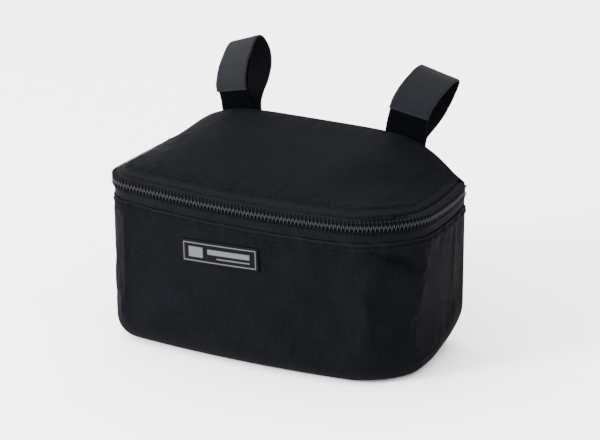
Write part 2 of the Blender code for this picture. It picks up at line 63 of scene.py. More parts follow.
HEM_WANDER = 0.00018
HEM_RUB_REACH = 0.0016
FOOT_RUB_HEIGHT = 0.004
HEM_RIPPLE = 0.00050
HEM_RIPPLE_REACH = 0.010
STITCH_GROOVE = 0.00105
STITCH_GROOVE_HALF_WIDTH = 0.0008
HALF_WIDTH = BAG_WIDTH / 2
HALF_DEPTH = BAG_DEPTH / 2
SEAM_Y = HALF_DEPTH - SEAM_ROLL - SEAM_GAP

# Hollows (+) and swells (-) of the tub's wall: places along it from the middle of the front as shares of the
# bag's width, heights as shares of the zip's height, depths as shares of the wall's thickness.
# columns: along, height, half_length, half_width, turn in degrees, depth
WALL_HOLLOWS = (
    (0.500, 0.775, 0.085, 0.020, -27, 2.10),
    (0.430, 0.660, 0.050, 0.040, -27, -0.60),
    (0.270, 0.37, 0.095, 0.120, 20, 1.70),
    (0.400, 0.50, 0.040, 0.150, 6, -0.70),
    (0.630, 0.30, 0.090, 0.090, 0, 0.90),
    (-0.300, 0.30, 0.110, 0.090, 0, -0.50),
    (0.100, 0.16, 0.170, 0.050, 0, -0.35),
    (-0.640, 0.45, 0.090, 0.120, 15, 0.70),
)

# Small slack folds that run down from the hem.
# columns: along, length of the fold, half_width, lean in degrees, depth
HEM_FOLDS = (
    (-0.385, 0.020, 0.0050, 10, 0.0006),
    (-0.210, 0.014, 0.0040, -8, 0.0004),
    (-0.040, 0.012, 0.0045, 5, 0.0003),
    (0.165, 0.016, 0.0050, 12, 0.0005),
    (0.335, 0.020, 0.0040, -14, 0.0006),
    (0.430, 0.024, 0.0050, -24, 0.0010),
    (0.545, 0.018, 0.0045, 10, 0.0007),
    (0.690, 0.016, 0.0040, 6, 0.0005),
)


def path_normals(path):
    along = np.gradient(path, axis=0)
    along /= np.linalg.norm(along, axis=1)[:, None]
    return np.stack([-along[:, 1], along[:, 0]], axis=1)


def lengths_along(path):
    """Distances from the start of a path, or of each of many paths, to its points."""
    steps = np.linalg.norm(np.diff(path, axis=-2), axis=-1)
    return np.concatenate([np.zeros((*steps.shape[:-1], 1)), np.cumsum(steps, axis=-1)], axis=-1)


def read_off(where, run, line):
    """Points of a line at given distances along it."""
    return np.stack([np.interp(where, run, line[:, axis]) for axis in range(line.shape[1])], axis=-1)


def tub_outline():
    """Plan of the tub's wall from the left seam at the back, round the front, to the right seam."""
    front = -HALF_DEPTH
    left = LEFT_CORNER_RADIUS
    right = RIGHT_CORNER_RADIUS
    turn = np.linspace(0, math.pi / 2, 60)
    pieces = (
        np.stack([np.full(90, -HALF_WIDTH), np.linspace(SEAM_Y, front + left, 90)], axis=1),
        np.stack([-HALF_WIDTH + left - left * np.cos(turn), front + left - left * np.sin(turn)], axis=1),
        np.stack([np.linspace(-HALF_WIDTH + left, HALF_WIDTH - right, 240), np.full(240, front)], axis=1),
        np.stack([HALF_WIDTH - right + right * np.sin(turn), front + right - right * np.cos(turn)], axis=1),
        np.stack([np.full(90, HALF_WIDTH), np.linspace(front + right, SEAM_Y, 90)], axis=1),
    )
    points = np.concatenate([pieces[0]] + [piece[1:] for piece in pieces[1:]])
    across = points[:, 0] / HALF_WIDTH
    back = points[:, 1] / HALF_DEPTH
    points[:, 1] -= FRONT_BOW * (1 - across ** 2) * np.clip(-back, 0, 1) ** 2
    bow = np.where(across > 0, RIGHT_END_BOW, -LEFT_END_BOW)
    points[:, 0] += bow * (1 - back ** 2) * across ** 2
    return points


OUTLINE = tub_outline()
OUTLINE_NORMALS = -path_normals(OUTLINE)
OUTLINE_RUN = lengths_along(OUTLINE)
OUTLINE_RUN -= np.interp(0, OUTLINE[120:-120, 0], OUTLINE_RUN[120:-120])
RUN_LEFT = OUTLINE_RUN[0]
RUN_RIGHT = OUTLINE_RUN[-1]


def around(run):
    """Points and outward directions on the tub's outline, by distance from the middle of the front."""
    points = read_off(run, OUTLINE_RUN, OUTLINE)
    normals = read_off(run, OUTLINE_RUN, OUTLINE_NORMALS)
    return points, normals / np.linalg.norm(normals, axis=-1, keepdims=True)


def stood_off(places, outward, out, z):
    """Points that stand out of the outline by given amounts, at given heights."""
    out, z = np.broadcast_arrays(out, z)
    return np.concatenate([places + outward * out[..., None], z[..., None]], axis=-1)


def zip_level(x):
    """Height of the zip's middle, which sags at the front and falls a little to the right."""
    across = x / HALF_WIDTH
    return ZIP_HEIGHT - ZIP_SAG * (1 - across ** 2) - ZIP_TILT * across


def foot_radius(y):
    start = -HALF_DEPTH + RIGHT_CORNER_RADIUS
    share = np.clip((y - start) / (SEAM_Y - start), 0, 1)
    return BOTTOM_RADIUS + (BACK_BOTTOM_RADIUS - BOTTOM_RADIUS) * share ** 2


def falloff(distance, reach):
    """1 where distance is none, about a third at reach and next to nothing at twice that."""
    return np.exp(-(distance / reach) ** 2)


def hollow_depth(table, across, height, size_across, size_height, size_length):
    """Depth of a table's hollows at a point. Each is an oval dent, turned and softly edged."""
    depth = 0.0
    for place, level, half_length, half_width, turn, deep in table:
        offset = across - place * size_across
        rise = height - level * size_height
        angle = math.radians(turn)
        along = offset * math.cos(angle) + rise * math.sin(angle)
        aside = rise * math.cos(angle) - offset * math.sin(angle)
        oval = falloff(along, half_length * size_length) * falloff(aside, half_width * size_length)
        depth = depth + deep * oval
    return depth


def pucker(run, size=1.0):
    """Uneven ripple of a sewn edge, between about -1 and 1."""
    # columns: wavelength, phase, share
    waves = ((0.0071, 0.3, 0.30), (0.0113, 1.9, 0.34), (0.0187, 4.1, 0.30), (0.0313, 2.6, 0.26))
    return sum(share * np.sin(2 * math.pi * run / (length * size) + phase) for length, phase, share in waves)


def hem_level(run, x):
    """Height of the hem's folded edge, which wanders a little."""
    return zip_level(x) - HEM_DROP + HEM_WANDER * pucker(run, 1.3)


def wall_out(run, z, top):
    """How far the wall stands out of the outline: hollows, slack folds and the puffed, topstitched hem."""
    out = -WALL * hollow_depth(WALL_HOLLOWS, run, z, BAG_WIDTH, ZIP_HEIGHT, BAG_WIDTH)
    round_end = np.clip((run - HALF_WIDTH + RIGHT_CORNER_RADIUS) / BAG_DEPTH * 2, 0, 1)
    out = out - RIGHT_TAPER * round_end * np.maximum(1 - z / ZIP_HEIGHT, 0) ** 1.5
    fade = np.clip((top - HEM_WIDTH - z) / HEM_WIDTH, 0, 1)
    seam = np.clip(np.minimum(run - RUN_LEFT, RUN_RIGHT - run) / BACK_BOTTOM_RADIUS, 0, 1)
    hem = np.clip((z - top + HEM_WIDTH) / HEM_WIDTH, 0, 1)
    under = top - z
    folds = 0.0
    for place, length, half_width, lean, depth in HEM_FOLDS:
        offset = run - place * BAG_WIDTH - under * math.tan(math.radians(lean))
        folds = folds + depth * falloff(offset, half_width) * falloff(under, length)
    ripple = HEM_RIPPLE * pucker(run) * np.exp(-(under / HEM_RIPPLE_REACH) ** 1.5)
    drawn_in = 0.70 + 0.30 * pucker(run, 0.7)
    groove = STITCH_GROOVE * falloff(under - HEM_STITCH, STITCH_GROOVE_HALF_WIDTH) * drawn_in
    return out * fade * seam + HEM_PUFF * np.sin(math.pi * hem) ** 0.7 + ripple - folds * seam - groove


def lay_uv(mesh, uv):
    """Lay the weave's coordinates, in metres of cloth, on a mesh."""
    layer = mesh.uv_layers.new(name="weave")
    corner = np.empty(len(mesh.loops), dtype=np.int32)
    mesh.loops.foreach_get("vertex_index", corner)
    layer.data.foreach_set("uv", uv[corner].astype(np.float32).ravel())


def sewn_piece(name, points, faces, uv, finish, wear_print_and_highlight=None):
    """Make one piece from its points and faces, with weave coordinates and a share of paler colour per
    point: rubbing, print, and on the coil a painted highlight.
    """
    mesh = bpy.data.meshes.new(name)
    mesh.from_pydata(points.reshape(-1, 3).tolist(), [], faces)
    mesh.materials.append(finish)
    lay_uv(mesh, uv.reshape(-1, 2))
    rubbed = mesh.attributes.new("wear_print_and_highlight", "FLOAT", "POINT")
    amount = np.zeros(len(mesh.vertices)) if wear_print_and_highlight is None else wear_print_and_highlight.ravel()
    rubbed.data.foreach_set("value", amount.astype(np.float32))
    mesh.shade_smooth()
    made = bpy.data.objects.new(name, mesh)
    bpy.context.collection.objects.link(made)
    return made


def sheet_faces(rows, columns, start=0):
    """Faces of a sheet made of rows of points."""
    faces = []
    for row in range(rows - 1):
        for column in range(columns - 1):
            first = start + row * columns + column
            faces.append((first, first + 1, first + columns + 1, first + columns))
    return faces


def tube_faces(rings, sides, start=0):
    """Faces of a bar made of closed rings, with both ends capped."""
    faces = [tuple(start + side for side in range(sides))]
    for ring in range(rings - 1):
        for side in range(sides):
            following = (side + 1) % sides
            first = start + ring * sides
            faces.append((first + side, first + sides + side, first + sides + following, first + following))
    last = start + (rings - 1) * sides
    faces.append(tuple(last + side for side in reversed(range(sides))))
    return faces


def maths(tree, operation, first, second=0.0):
    """Output of a math node whose inputs are outputs or numbers."""
    made = tree.nodes.new("ShaderNodeMath")
    made.operation = operation
    for socket, value in zip(made.inputs, (first, second)):
        if isinstance(value, (int, float)):
            socket.default_value = value
        else:
            tree.links.new(value, socket)
    return made.outputs[0]


def blotches(tree, coordinates, scale, detail):
    made = tree.nodes.new("ShaderNodeTexNoise")
    made.inputs["Scale"].default_value = scale
    made.inputs["Detail"].default_value = detail
    tree.links.new(coordinates, made.inputs["Vector"])
    return made.outputs["Fac"]


def blended(tree, share, dark, light):
    made = tree.nodes.new("ShaderNodeMix")
    made.data_type = "RGBA"
    made.inputs["A"].default_value = (*dark, 1.0)
    made.inputs["B"].default_value = (*light, 1.0)
    tree.links.new(share, made.inputs["Factor"])
    return made.outputs["Result"]


def weighted(tree, base, *terms):
    """A base, an output or a number, plus each given output times its weight."""
    total = base
    for output, weight in terms:
        total = maths(tree, "ADD", maths(tree, "MULTIPLY", output, weight), total)
    return total


def new_finish(name, specular):
    made = bpy.data.materials.new(name)
    made.use_nodes = True
    shader = made.node_tree.nodes["Principled BSDF"]
    shader.inputs["Specular IOR Level"].default_value = specular
    return made, made.node_tree, shader


def cloth_place(tree):
    laid = tree.nodes.new("ShaderNodeUVMap")
    laid.uv_map = "weave"
    return laid.outputs["UV"]


def wear_print_and_highlight_share(tree):
    rubbed = tree.nodes.new("ShaderNodeAttribute")
    rubbed.attribute_name = "wear_print_and_highlight"
    return rubbed.outputs["Fac"]


def raise_grain(tree, shader, height, relief):
    bump = tree.nodes.new("ShaderNodeBump")
    bump.inputs["Distance"].default_value = relief
    tree.links.new(height, bump.inputs["Height"])
    tree.links.new(bump.outputs["Normal"], shader.inputs["Normal"])


def woven_finish(name, dark, light, thread_width, relief, roughness, sheen, rib=1.0):
    """Plain weave of threads of one width, uneven in tone, paler where it is rubbed."""
    made, tree, shader = new_finish(name, 0.012)
    shader.inputs["Sheen Weight"].default_value = sheen
    shader.inputs["Sheen Roughness"].default_value = 0.55
    cloth = cloth_place(tree)
    split = tree.nodes.new("ShaderNodeSeparateXYZ")
    tree.links.new(cloth, split.inputs["Vector"])
    warp = maths(tree, "SINE", maths(tree, "MULTIPLY", split.outputs["X"], math.pi / thread_width))
    weft = maths(tree, "SINE", maths(tree, "MULTIPLY", split.outputs["Y"], math.pi / (thread_width * rib)))
    over = maths(tree, "MULTIPLY", warp, weft)
    patch = blotches(tree, cloth, 42.0, 3.0)
    grain = blotches(tree, cloth, 850.0, 3.0)
    drawn_out = tree.nodes.new("ShaderNodeVectorMath")
    drawn_out.operation = "MULTIPLY"
    drawn_out.inputs[1].default_value = (1.0, 0.08, 1.0)
    tree.links.new(cloth, drawn_out.inputs[0])
    streaks = blotches(tree, drawn_out.outputs["Vector"], 900.0, 2.0)
    rubbed = wear_print_and_highlight_share(tree)
    tone = weighted(tree, -0.69, (over, 0.16), (patch, 0.55), (grain, 1.10), (streaks, 0.40), (rubbed, 0.70))
    tree.links.new(blended(tree, tone, dark, light), shader.inputs["Base Color"])
    tree.links.new(weighted(tree, roughness - 0.06, (patch, 0.12)), shader.inputs["Roughness"])
    raise_grain(tree, shader, weighted(tree, over, (grain, 0.6)), relief)
    return made


SETTLING_STEPS = 20


def cloth_slack(name, grid, row_step, column_step, pressure, growth, reach):
    """Let a coarse copy of a sewn sheet, held along its edges, fill and slacken as cloth.

    Returns how far each point of the full sheet moves, never more than reach.
    """
    rows = np.unique(np.append(np.arange(0, grid.shape[0], row_step), grid.shape[0] - 1))
    columns = np.unique(np.append(np.arange(0, grid.shape[1], column_step), grid.shape[1] - 1))
    coarse = grid[np.ix_(rows, columns)]
    mesh = bpy.data.meshes.new(name)
    mesh.from_pydata(coarse.reshape(-1, 3).tolist(), [], sheet_faces(len(rows), len(columns)))
    sheet = bpy.data.objects.new(name, mesh)
    bpy.context.collection.objects.link(sheet)
    number = np.arange(len(rows) * len(columns)).reshape(len(rows), len(columns))
    edge = np.unique(np.concatenate([number[0], number[-1], number[:, 0], number[:, -1]]))
    held = sheet.vertex_groups.new(name="held")
    held.add(edge.tolist(), 1.0, "REPLACE")
    cloth = sheet.modifiers.new("cloth", "CLOTH")
    cloth.settings.quality = 6
    cloth.settings.mass = 0.002
    cloth.settings.air_damping = 2.0
    cloth.settings.tension_stiffness = 15.0
    cloth.settings.compression_stiffness = 15.0
    cloth.settings.shear_stiffness = 4.0
    cloth.settings.bending_stiffness = 0.05
    cloth.settings.vertex_group_mass = "held"
    cloth.settings.shrink_min = -growth
    cloth.settings.use_pressure = True
    cloth.settings.uniform_pressure_force = pressure
    cloth.settings.effector_weights.gravity = 0.0
    cloth.collision_settings.use_collision = False
    for step in range(1, SETTLING_STEPS + 1):
        bpy.context.scene.frame_set(step)
    settled = sheet.evaluated_get(bpy.context.evaluated_depsgraph_get()).data
    places = np.empty(len(settled.vertices) * 3, dtype=np.float32)
    settled.vertices.foreach_get("co", places)
    shift = places.reshape(coarse.shape) - coarse
    bpy.data.objects.remove(sheet, do_unlink=True)
    bpy.context.scene.frame_set(1)
    length = np.linalg.norm(shift, axis=2, keepdims=True) + 1e-9
    shift = shift * np.tanh(length / reach) * reach / length
    every_row = np.arange(grid.shape[0])
    every_column = np.arange(grid.shape[1])
    filled = np.empty(grid.shape)
    for axis in range(3):
        tall = np.stack([np.interp(every_row, rows, line) for line in shift[:, :, axis].T], axis=1)
        filled[:, :, axis] = np.stack([np.interp(every_column, columns, line) for line in tall])
    return filled


padded_cloth = woven_finish("padded_cloth_woven", (0.0007, 0.0008, 0.0013), (0.0052, 0.0056, 0.0071),
                            thread_width=0.00042, relief=0.00012, roughness=0.70, sheen=0.001)

runs = np.linspace(RUN_LEFT, RUN_RIGHT, 321)[:, None]
places, outward = around(runs[:, 0])
hem_top = hem_level(runs, places[:, :1])
radius = foot_radius(places[:, 1:])
turns = np.radians(np.linspace(0, 90, 12))[None, :]
curl_z = radius * (1 - np.cos(turns))
curl_out = -radius * (1 - np.sin(turns)) + wall_out(runs, curl_z, hem_top) * np.sin(turns) ** 2
rise = np.linspace(0, 1, 60)[None, 1:]
hem_reach = 1.6 * HEM_WIDTH
wall_z = radius + (hem_top - hem_reach - radius) * rise
hem_z = hem_top - HEM_FOLD - (hem_reach - HEM_FOLD) * (1 - np.linspace(0, 1, 22)[None, 1:])
fold = np.radians((25, 50, 75, 90))[None, :]
edge_out = wall_out(runs, hem_top - HEM_FOLD, hem_top)
fold_z = hem_top - HEM_FOLD * (1 - np.sin(fold))
fold_out = edge_out - HEM_FOLD * (1 - np.cos(fold))
inner_z = radius + (hem_top - HEM_FOLD - radius) * np.linspace(1, 0, 14)[None, :]
below_hem = np.minimum(inner_z, hem_top - 2 * HEM_WIDTH)
inner_out = -WALL + 0.8 * np.minimum(wall_out(runs, below_hem, hem_top), 0)
under_z = WALL + (radius - WALL) * (1 - np.cos(turns[:, ::-2]))
under_out = -radius + (radius - WALL) * np.sin(turns[:, ::-2])
section_z = np.concatenate([curl_z, wall_z, hem_z, fold_z, inner_z, under_z[:, 1:]], axis=1)
section_out = np.concatenate([curl_out, wall_out(runs, wall_z, hem_top), wall_out(runs, hem_z, hem_top),
                              fold_out, inner_out, under_out[:, 1:]], axis=1)
wrap_points = stood_off(places[:, None, :], outward[:, None, :], section_out, section_z)

# The cloth between the foot and the hem's stitches is fuller than its foam, except where the label is sewn
# through it.
LABEL_OFFSET = 0.0165
LABEL_DROP = 0.0345
LABEL_HOLD_LENGTH = 0.038
LABEL_HOLD_HEIGHT = 0.017
FREE_ROWS = slice(11, 84)
held_along = (runs + LABEL_OFFSET) / LABEL_HOLD_LENGTH
held_up = (section_z[:, FREE_ROWS] - (ZIP_HEIGHT - LABEL_DROP)) / LABEL_HOLD_HEIGHT
label_hold = 1 - np.exp(-held_along ** 6 - held_up ** 6)
wall_slack = cloth_slack("slack_tub", wrap_points[:, FREE_ROWS], row_step=3, column_step=3,
                         pressure=2.0, growth=0.012, reach=0.0010)
wrap_points[:, FREE_ROWS] += label_hold[:, :, None] * wall_slack
wrap_uv = np.stack([np.broadcast_to(runs, section_z.shape), section_z], axis=2)
hem_rub = 0.55 * falloff(section_z - hem_top, HEM_RUB_REACH)
foot_rub = 0.35 * falloff(section_z - FOOT_RUB_HEIGHT, FOOT_RUB_HEIGHT)
wrap_faces = tube_faces(*section_z.shape)
tub = sewn_piece("tub_wall", wrap_points, wrap_faces, wrap_uv, padded_cloth, hem_rub + foot_rub)
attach(tub, "root")
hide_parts("front_wrap")

# The topstitching of the hem. One row of black bonded thread in a groove, about seven stitches to 25 mm,
# each sunk a little where it goes through the cloth.
THREAD = 0.00022
STITCH_LENGTH = 0.0027
STITCH_GAP = 0.0008
# columns: along the stitch from its middle as shares of its length, up from the cloth in half thicknesses
STITCH_SHAPE = ((-0.5, -1.6), (-0.42, -0.1), (-0.2, 0.75), (0.2, 0.75), (0.42, -0.1), (0.5, -1.6))


def tube_points(paths, reference, thickness, sides):
    """Rings of points round many short paths, all with equally many points."""
    along = np.gradient(paths, axis=1)
    along /= np.linalg.norm(along, axis=2, keepdims=True)
    aside = np.cross(along, reference)
    aside /= np.linalg.norm(aside, axis=2, keepdims=True)
    over = np.cross(aside, along)
    angle = np.linspace(0, 2 * math.pi, sides, endpoint=False)
    ring = np.cos(angle)[:, None] * aside[:, :, None, :] + np.sin(angle)[:, None] * over[:, :, None, :]
    return paths[:, :, None, :] + ring * np.broadcast_to(thickness, paths.shape[:2])[:, :, None, None]


def tubes(name, paths, reference, thickness, sides, finish, wear_print_and_highlight=None):
    """Make many short bars as one piece, with a share of paler colour for each of their rings, which on the
    coil is a painted highlight.
    """
    points = tube_points(paths, reference, thickness, sides)
    count, rings = paths.shape[:2]
    faces = []
    for index in range(count):
        faces += tube_faces(rings, sides, index * rings * sides)
    length = lengths_along(paths)
    turn = np.linspace(0, 1, sides, endpoint=False) * 2 * math.pi
    uv = np.stack(np.broadcast_arrays(length[:, :, None], turn[None, None, :] * np.max(thickness)), axis=3)
    if wear_print_and_highlight is not None:
        wear_print_and_highlight = np.broadcast_to(wear_print_and_highlight[:, :, None], points.shape[:3])
    return sewn_piece(name, points, faces, uv, finish, wear_print_and_highlight)


def stitches(name, line, normals, finish, thickness=THREAD, length=STITCH_LENGTH, gap=STITCH_GAP):
    """Make a row of stitches along a line of points on a surface."""
    shape = np.array(STITCH_SHAPE)
    run = lengths_along(line)
    count = int(run[-1] / (length + gap))
    step = run[-1] / count
    along = step * (np.arange(count) + 0.5)[:, None] + length * shape[:, 0]
    sink = thickness * shape[:, 1]
    point = read_off(along, run, line)
    normal = read_off(along, run, normals)
    normal /= np.linalg.norm(normal, axis=2, keepdims=True)
    return tubes(name, point + normal * sink[None, :, None], normal, thickness, 6, finish)


def thread_finish(name, dark, light, roughness):
    """Twisted bonded thread or cord, with its turns as fine slanted lines."""
    made, tree, shader = new_finish(name, 0.03)
    cloth = cloth_place(tree)
    split = tree.nodes.new("ShaderNodeSeparateXYZ")
    tree.links.new(cloth, split.inputs["Vector"])
    slant = weighted(tree, split.outputs["X"], (split.outputs["Y"], 0.6))
    twist = maths(tree, "SINE", maths(tree, "MULTIPLY", slant, 2 * math.pi / 0.0005))
    fuzz = blotches(tree, cloth, 900.0, 2.0)
    tone = weighted(tree, fuzz, (twist, 0.25))
    tree.links.new(blended(tree, tone, dark, light), shader.inputs["Base Color"])
    tree.links.new(weighted(tree, roughness, (fuzz, 0.2)), shader.inputs["Roughness"])
    raise_grain(tree, shader, twist, 0.00004)
    return made


thread = thread_finish("sewing_thread", (0.0003, 0.0004, 0.0007), (0.0018, 0.0020, 0.0028), roughness=0.60)
sewn_runs = np.linspace(RUN_LEFT + 0.002, RUN_RIGHT - 0.002, 400)
sewn_places, sewn_out = around(sewn_runs)
sewn_top = hem_level(sewn_runs, sewn_places[:, 0])
sewn_z = sewn_top - HEM_STITCH
lift = wall_out(sewn_runs, sewn_z, sewn_top)
hem_line = stood_off(sewn_places, sewn_out, lift, sewn_z)
hem_normals = np.column_stack([sewn_out, np.zeros(len(sewn_out))])
hem_stitches = stitches("hem_stitches", hem_line, hem_normals, thread)
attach(hem_stitches, "root")

# The base. A flat panel of coated cloth on the same foam, sewn inside the curled foot of the tub.
# It is what the bag stands on, so its lower face is flat.
base_cloth = woven_finish("base_cloth_coated", (0.0008, 0.0010, 0.0016), (0.0034, 0.0038, 0.0052),
                          thread_width=0.00050, relief=0.00005, roughness=0.74, sheen=0.003)
base_runs = np.linspace(RUN_LEFT, RUN_RIGHT, 241)
base_places, base_out = around(base_runs)
base_edge = base_places - base_out * (foot_radius(base_places[:, 1])[:, None] + SEAM_GAP)
base_middle = np.array((base_edge[:, 0].mean(), SEAM_Y - 0.055))
# columns: share of the way from the middle to the edge, height
BASE_RINGS = (
    (1, WALL * 0.6),
    (0.999, WALL * 0.25),
    (0.992, 0.0),
    (0.7, 0.0),
    (0.35, 0.0),
    (0.05, 0.0),
    (0.05, WALL),
    (0.6, WALL),
    (0.999, WALL),
)
base_rings = []
for share, z in BASE_RINGS:
    ring = base_middle + (base_edge - base_middle) * share
    base_rings.append(np.column_stack([ring, np.full(len(ring), z)]))
base_points = np.array(base_rings).transpose(1, 0, 2)
base_faces = tube_faces(*base_points.shape[:2])
base = sewn_piece("base_cloth_panel", base_points, base_faces, base_points[:, :, :2], base_cloth)
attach(base, "root")
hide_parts("base_panel")

# The back. A stiffened flat panel as high as the ridge, cloth over board and foam, with its edge rolled
# forward to the seams of the tub and the lid.
LID_INSET = 0.005
LID_FOLD_RISE = 0.0075
LID_EDGE_ROLL = WALL + 0.0004
RIDGE_RISE = 0.0320
SLOPE_POWER = 1.32
SHOULDER_POWER = 5.4
SHOULDER_SOFTNESS = 1.30
COIL_HEIGHT = 0.0082
BACK_STITCH_INSET = 0.0075
BACK_GROOVE = 0.0006
BACK_GROOVE_HALF_WIDTH = 0.0009
BACK_SLACK = 0.00045
BACK_SLACK_INSET = 0.011
BACK_SLACK_REACH = 0.006
EDGE_RUB_INSET = 0.0012


def seam_level(x):
    return ZIP_HEIGHT - ZIP_TILT * x / HALF_WIDTH


def shoulder(x):
    """Share of the ridge's height that is left towards the ends of the lid."""
    across = np.minimum(np.abs(x) / (HALF_WIDTH - LID_INSET), 1.0)
    return (1 - across ** SHOULDER_POWER) ** SHOULDER_SOFTNESS


def ridge_level(x):
    return seam_level(x) + LID_FOLD_RISE + (RIDGE_RISE - LID_FOLD_RISE) * shoulder(x)


def back_top(x):
    beyond = np.clip((np.abs(x) - HALF_WIDTH + LID_INSET) / LID_INSET, 0, 1)
    return ridge_level(x) - beyond * (LID_FOLD_RISE - COIL_HEIGHT / 2)


def back_inward(x, z):
    """Distance from a point of the back panel to its nearest edge."""
    over = np.abs(x) - (HALF_WIDTH - BACK_BOTTOM_RADIUS)
    under = BACK_BOTTOM_RADIUS - z
    rounded = BACK_BOTTOM_RADIUS - np.hypot(over, under)
    side = np.where((over > 0) & (under > 0), rounded, HALF_WIDTH - np.abs(x))
    slope = (back_top(x + 1e-4) - back_top(x - 1e-4)) / 2e-4
    return np.maximum(np.minimum(np.minimum(side, z), (back_top(x) - z) / np.hypot(1, slope)), 0)


def graded(start, end, first, count):
    """Places from start to end with given short first and last steps."""
    middle = np.linspace(start + first[-1], end - first[-1], count)[1:-1]
    return np.concatenate([[start], start + first, middle, end - first[::-1], [end]])


roll = SEAM_ROLL * (1 - np.cos(np.radians((6, 20, 40, 60, 75, 90))))
back_x = graded(-HALF_WIDTH, HALF_WIDTH, roll, 110)[:, None]
over = np.maximum(np.abs(back_x) - (HALF_WIDTH - BACK_BOTTOM_RADIUS), 0)
back_foot = BACK_BOTTOM_RADIUS - np.sqrt(np.maximum(BACK_BOTTOM_RADIUS ** 2 - over ** 2, 0))
share = graded(0.0, 1.0, roll / 0.12, 60)[None, :]
back_z = back_foot + (back_top(back_x) - back_foot) * share
turned = np.maximum(1 - back_inward(back_x, back_z) / SEAM_ROLL, 0)
sunk = SEAM_ROLL * (1 - np.sqrt(np.maximum(1 - turned ** 2, 0)))
inward = back_inward(back_x, back_z)
groove = BACK_GROOVE * falloff(inward - BACK_STITCH_INSET, BACK_GROOVE_HALF_WIDTH)
soft = BACK_SLACK * pucker(back_x + back_z, 2.0) * falloff(inward - BACK_SLACK_INSET, BACK_SLACK_REACH)
back_y = HALF_DEPTH - sunk - groove - np.maximum(soft, 0)
back_points = np.stack(np.broadcast_arrays(back_x, back_y, back_z), axis=2)
back_uv = np.stack(np.broadcast_arrays(back_x, back_z), axis=2)
back_rub = 0.5 * falloff(inward - EDGE_RUB_INSET, EDGE_RUB_INSET)
back_faces = sheet_faces(*back_z.shape)
back = sewn_piece("back_cloth_panel", back_points, back_faces, back_uv, padded_cloth, back_rub)
board = back.modifiers.new("board", "SOLIDIFY")
board.thickness = WALL
board.offset = -1.0
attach(back, "root")
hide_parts("back_panel")

corner = BACK_BOTTOM_RADIUS
corner_turn = corner - BACK_STITCH_INSET
side_x = HALF_WIDTH - BACK_STITCH_INSET
edge_turn = np.linspace(0, math.pi / 2, 16)[1:-1]
left_top = back_top(-side_x) - 1.6 * BACK_STITCH_INSET
right_top = back_top(side_x) - 1.6 * BACK_STITCH_INSET
left_up = [(-side_x, z) for z in np.linspace(left_top, corner, 30)]
left_turn = [(corner - HALF_WIDTH - corner_turn * math.cos(angle), corner - corner_turn * math.sin(angle))
             for angle in edge_turn]
along_foot = [(x, BACK_STITCH_INSET) for x in np.linspace(corner - HALF_WIDTH, HALF_WIDTH - corner, 60)]
right_turn = [(HALF_WIDTH - corner + corner_turn * math.sin(angle), corner - corner_turn * math.cos(angle))
              for angle in edge_turn]
right_up = [(side_x, z) for z in np.linspace(corner, right_top, 30)]
back_line = np.array(left_up + left_turn + along_foot + right_turn + right_up)
sewn_y = np.full(len(back_line), HALF_DEPTH - BACK_GROOVE)
back_line = np.column_stack([back_line[:, 0], sewn_y, back_line[:, 1]])
facing_back = np.tile((0.0, 1.0, 0.0), (len(back_line), 1))
back_stitches = stitches("back_edge_stitches", back_line, facing_back, thread)
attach(back_stitches, "root")

# The lid. A domed panel of the same padded cloth, folded under along the zip and sewn in at the ridge.
# Its right part sinks a little, so a soft hip runs from the front right corner to the ridge.
LID_STITCH_INSET = 0.0062
LID_GROOVE = 0.0006
LID_GROOVE_HALF_WIDTH = 0.0008
LID_RIPPLE = 0.00055
LID_RIPPLE_REACH = 0.009
RIDGE_SLACK = 0.0005
RIDGE_SLACK_REACH = 0.012

# Hollows (+) and swells (-) of the lid, in shares of the bag's width and depth and of the ridge's height.
# columns: across, back, half_length, half_width, turn in degrees, depth
LID_HOLLOWS = (
    (0.350, -0.130, 0.150, 0.075, 55, 0.165),
    (-0.048, -0.360, 0.022, 0.016, 0, 0.045),
    (-0.200, 0.050, 0.200, 0.110, 10, -0.040),
    (0.080, 0.280, 0.160, 0.070, 0, 0.050),
)


def lid_front(x):
    return -HALF_DEPTH + LID_INSET - FRONT_BOW * (1 - (x / HALF_WIDTH) ** 2)


def lid_level(x, y):
    """Height of the lid, which rises from the fold over the zip to the ridge."""
    front = lid_front(x)
    share = np.clip((y - front) / (SEAM_Y - front), 0, 1)
    slope = 1 - (1 - share) ** SLOPE_POWER
    fold = zip_level(x) * (1 - share) + seam_level(x) * share + LID_FOLD_RISE
    hollow = RIDGE_RISE * hollow_depth(LID_HOLLOWS, x, y, BAG_WIDTH, BAG_DEPTH, BAG_WIDTH)
    fade = np.sin(math.pi * np.minimum(share, 1 - share)) * shoulder(x)
    return fold + (RIDGE_RISE - LID_FOLD_RISE) * slope * shoulder(x) - hollow * fade


def resampled(points, shares):
    length = lengths_along(points)
    return read_off(shares * length[-1], length, points)


def lid_plan(inset, back, across, along):
    """Rows of points that fill the lid's outline, parallel to its edges."""
    edge = OUTLINE - OUTLINE_NORMALS * inset
    edge[0, 1] = back
    edge[-1, 1] = back
    corner_left = np.argmin(edge[:, 0] + edge[:, 1])
    corner_right = np.argmax(edge[:, 0] - edge[:, 1])
    left = resampled(edge[:corner_left + 1][::-1], along)
    front = resampled(edge[corner_left:corner_right + 1], across)
    right = resampled(edge[corner_right:], along)
    rear = left[-1] + across[:, None] * (right[-1] - left[-1])
    share = along[:, None, None]
    place = across[None, :, None]
    plan = (1 - share) * front[None] + share * rear[None]
    plan = plan + (1 - place) * left[:, None] + place * right[:, None]
    plan = plan - (1 - share) * ((1 - place) * front[0] + place * front[-1])
    return plan - share * ((1 - place) * rear[0] + place * rear[-1])


def distance_to_path(points, path):
    """Shortest distances from flat points to a path of straight steps."""
    steps = np.diff(path, axis=0)
    best = np.full(len(points), np.inf)
    for start, step in zip(path[:-1], steps):
        away = points - start
        reach = np.clip((away @ step) / (step @ step), 0, 1)
        best = np.minimum(best, np.linalg.norm(away - reach[:, None] * step, axis=1))
    return best


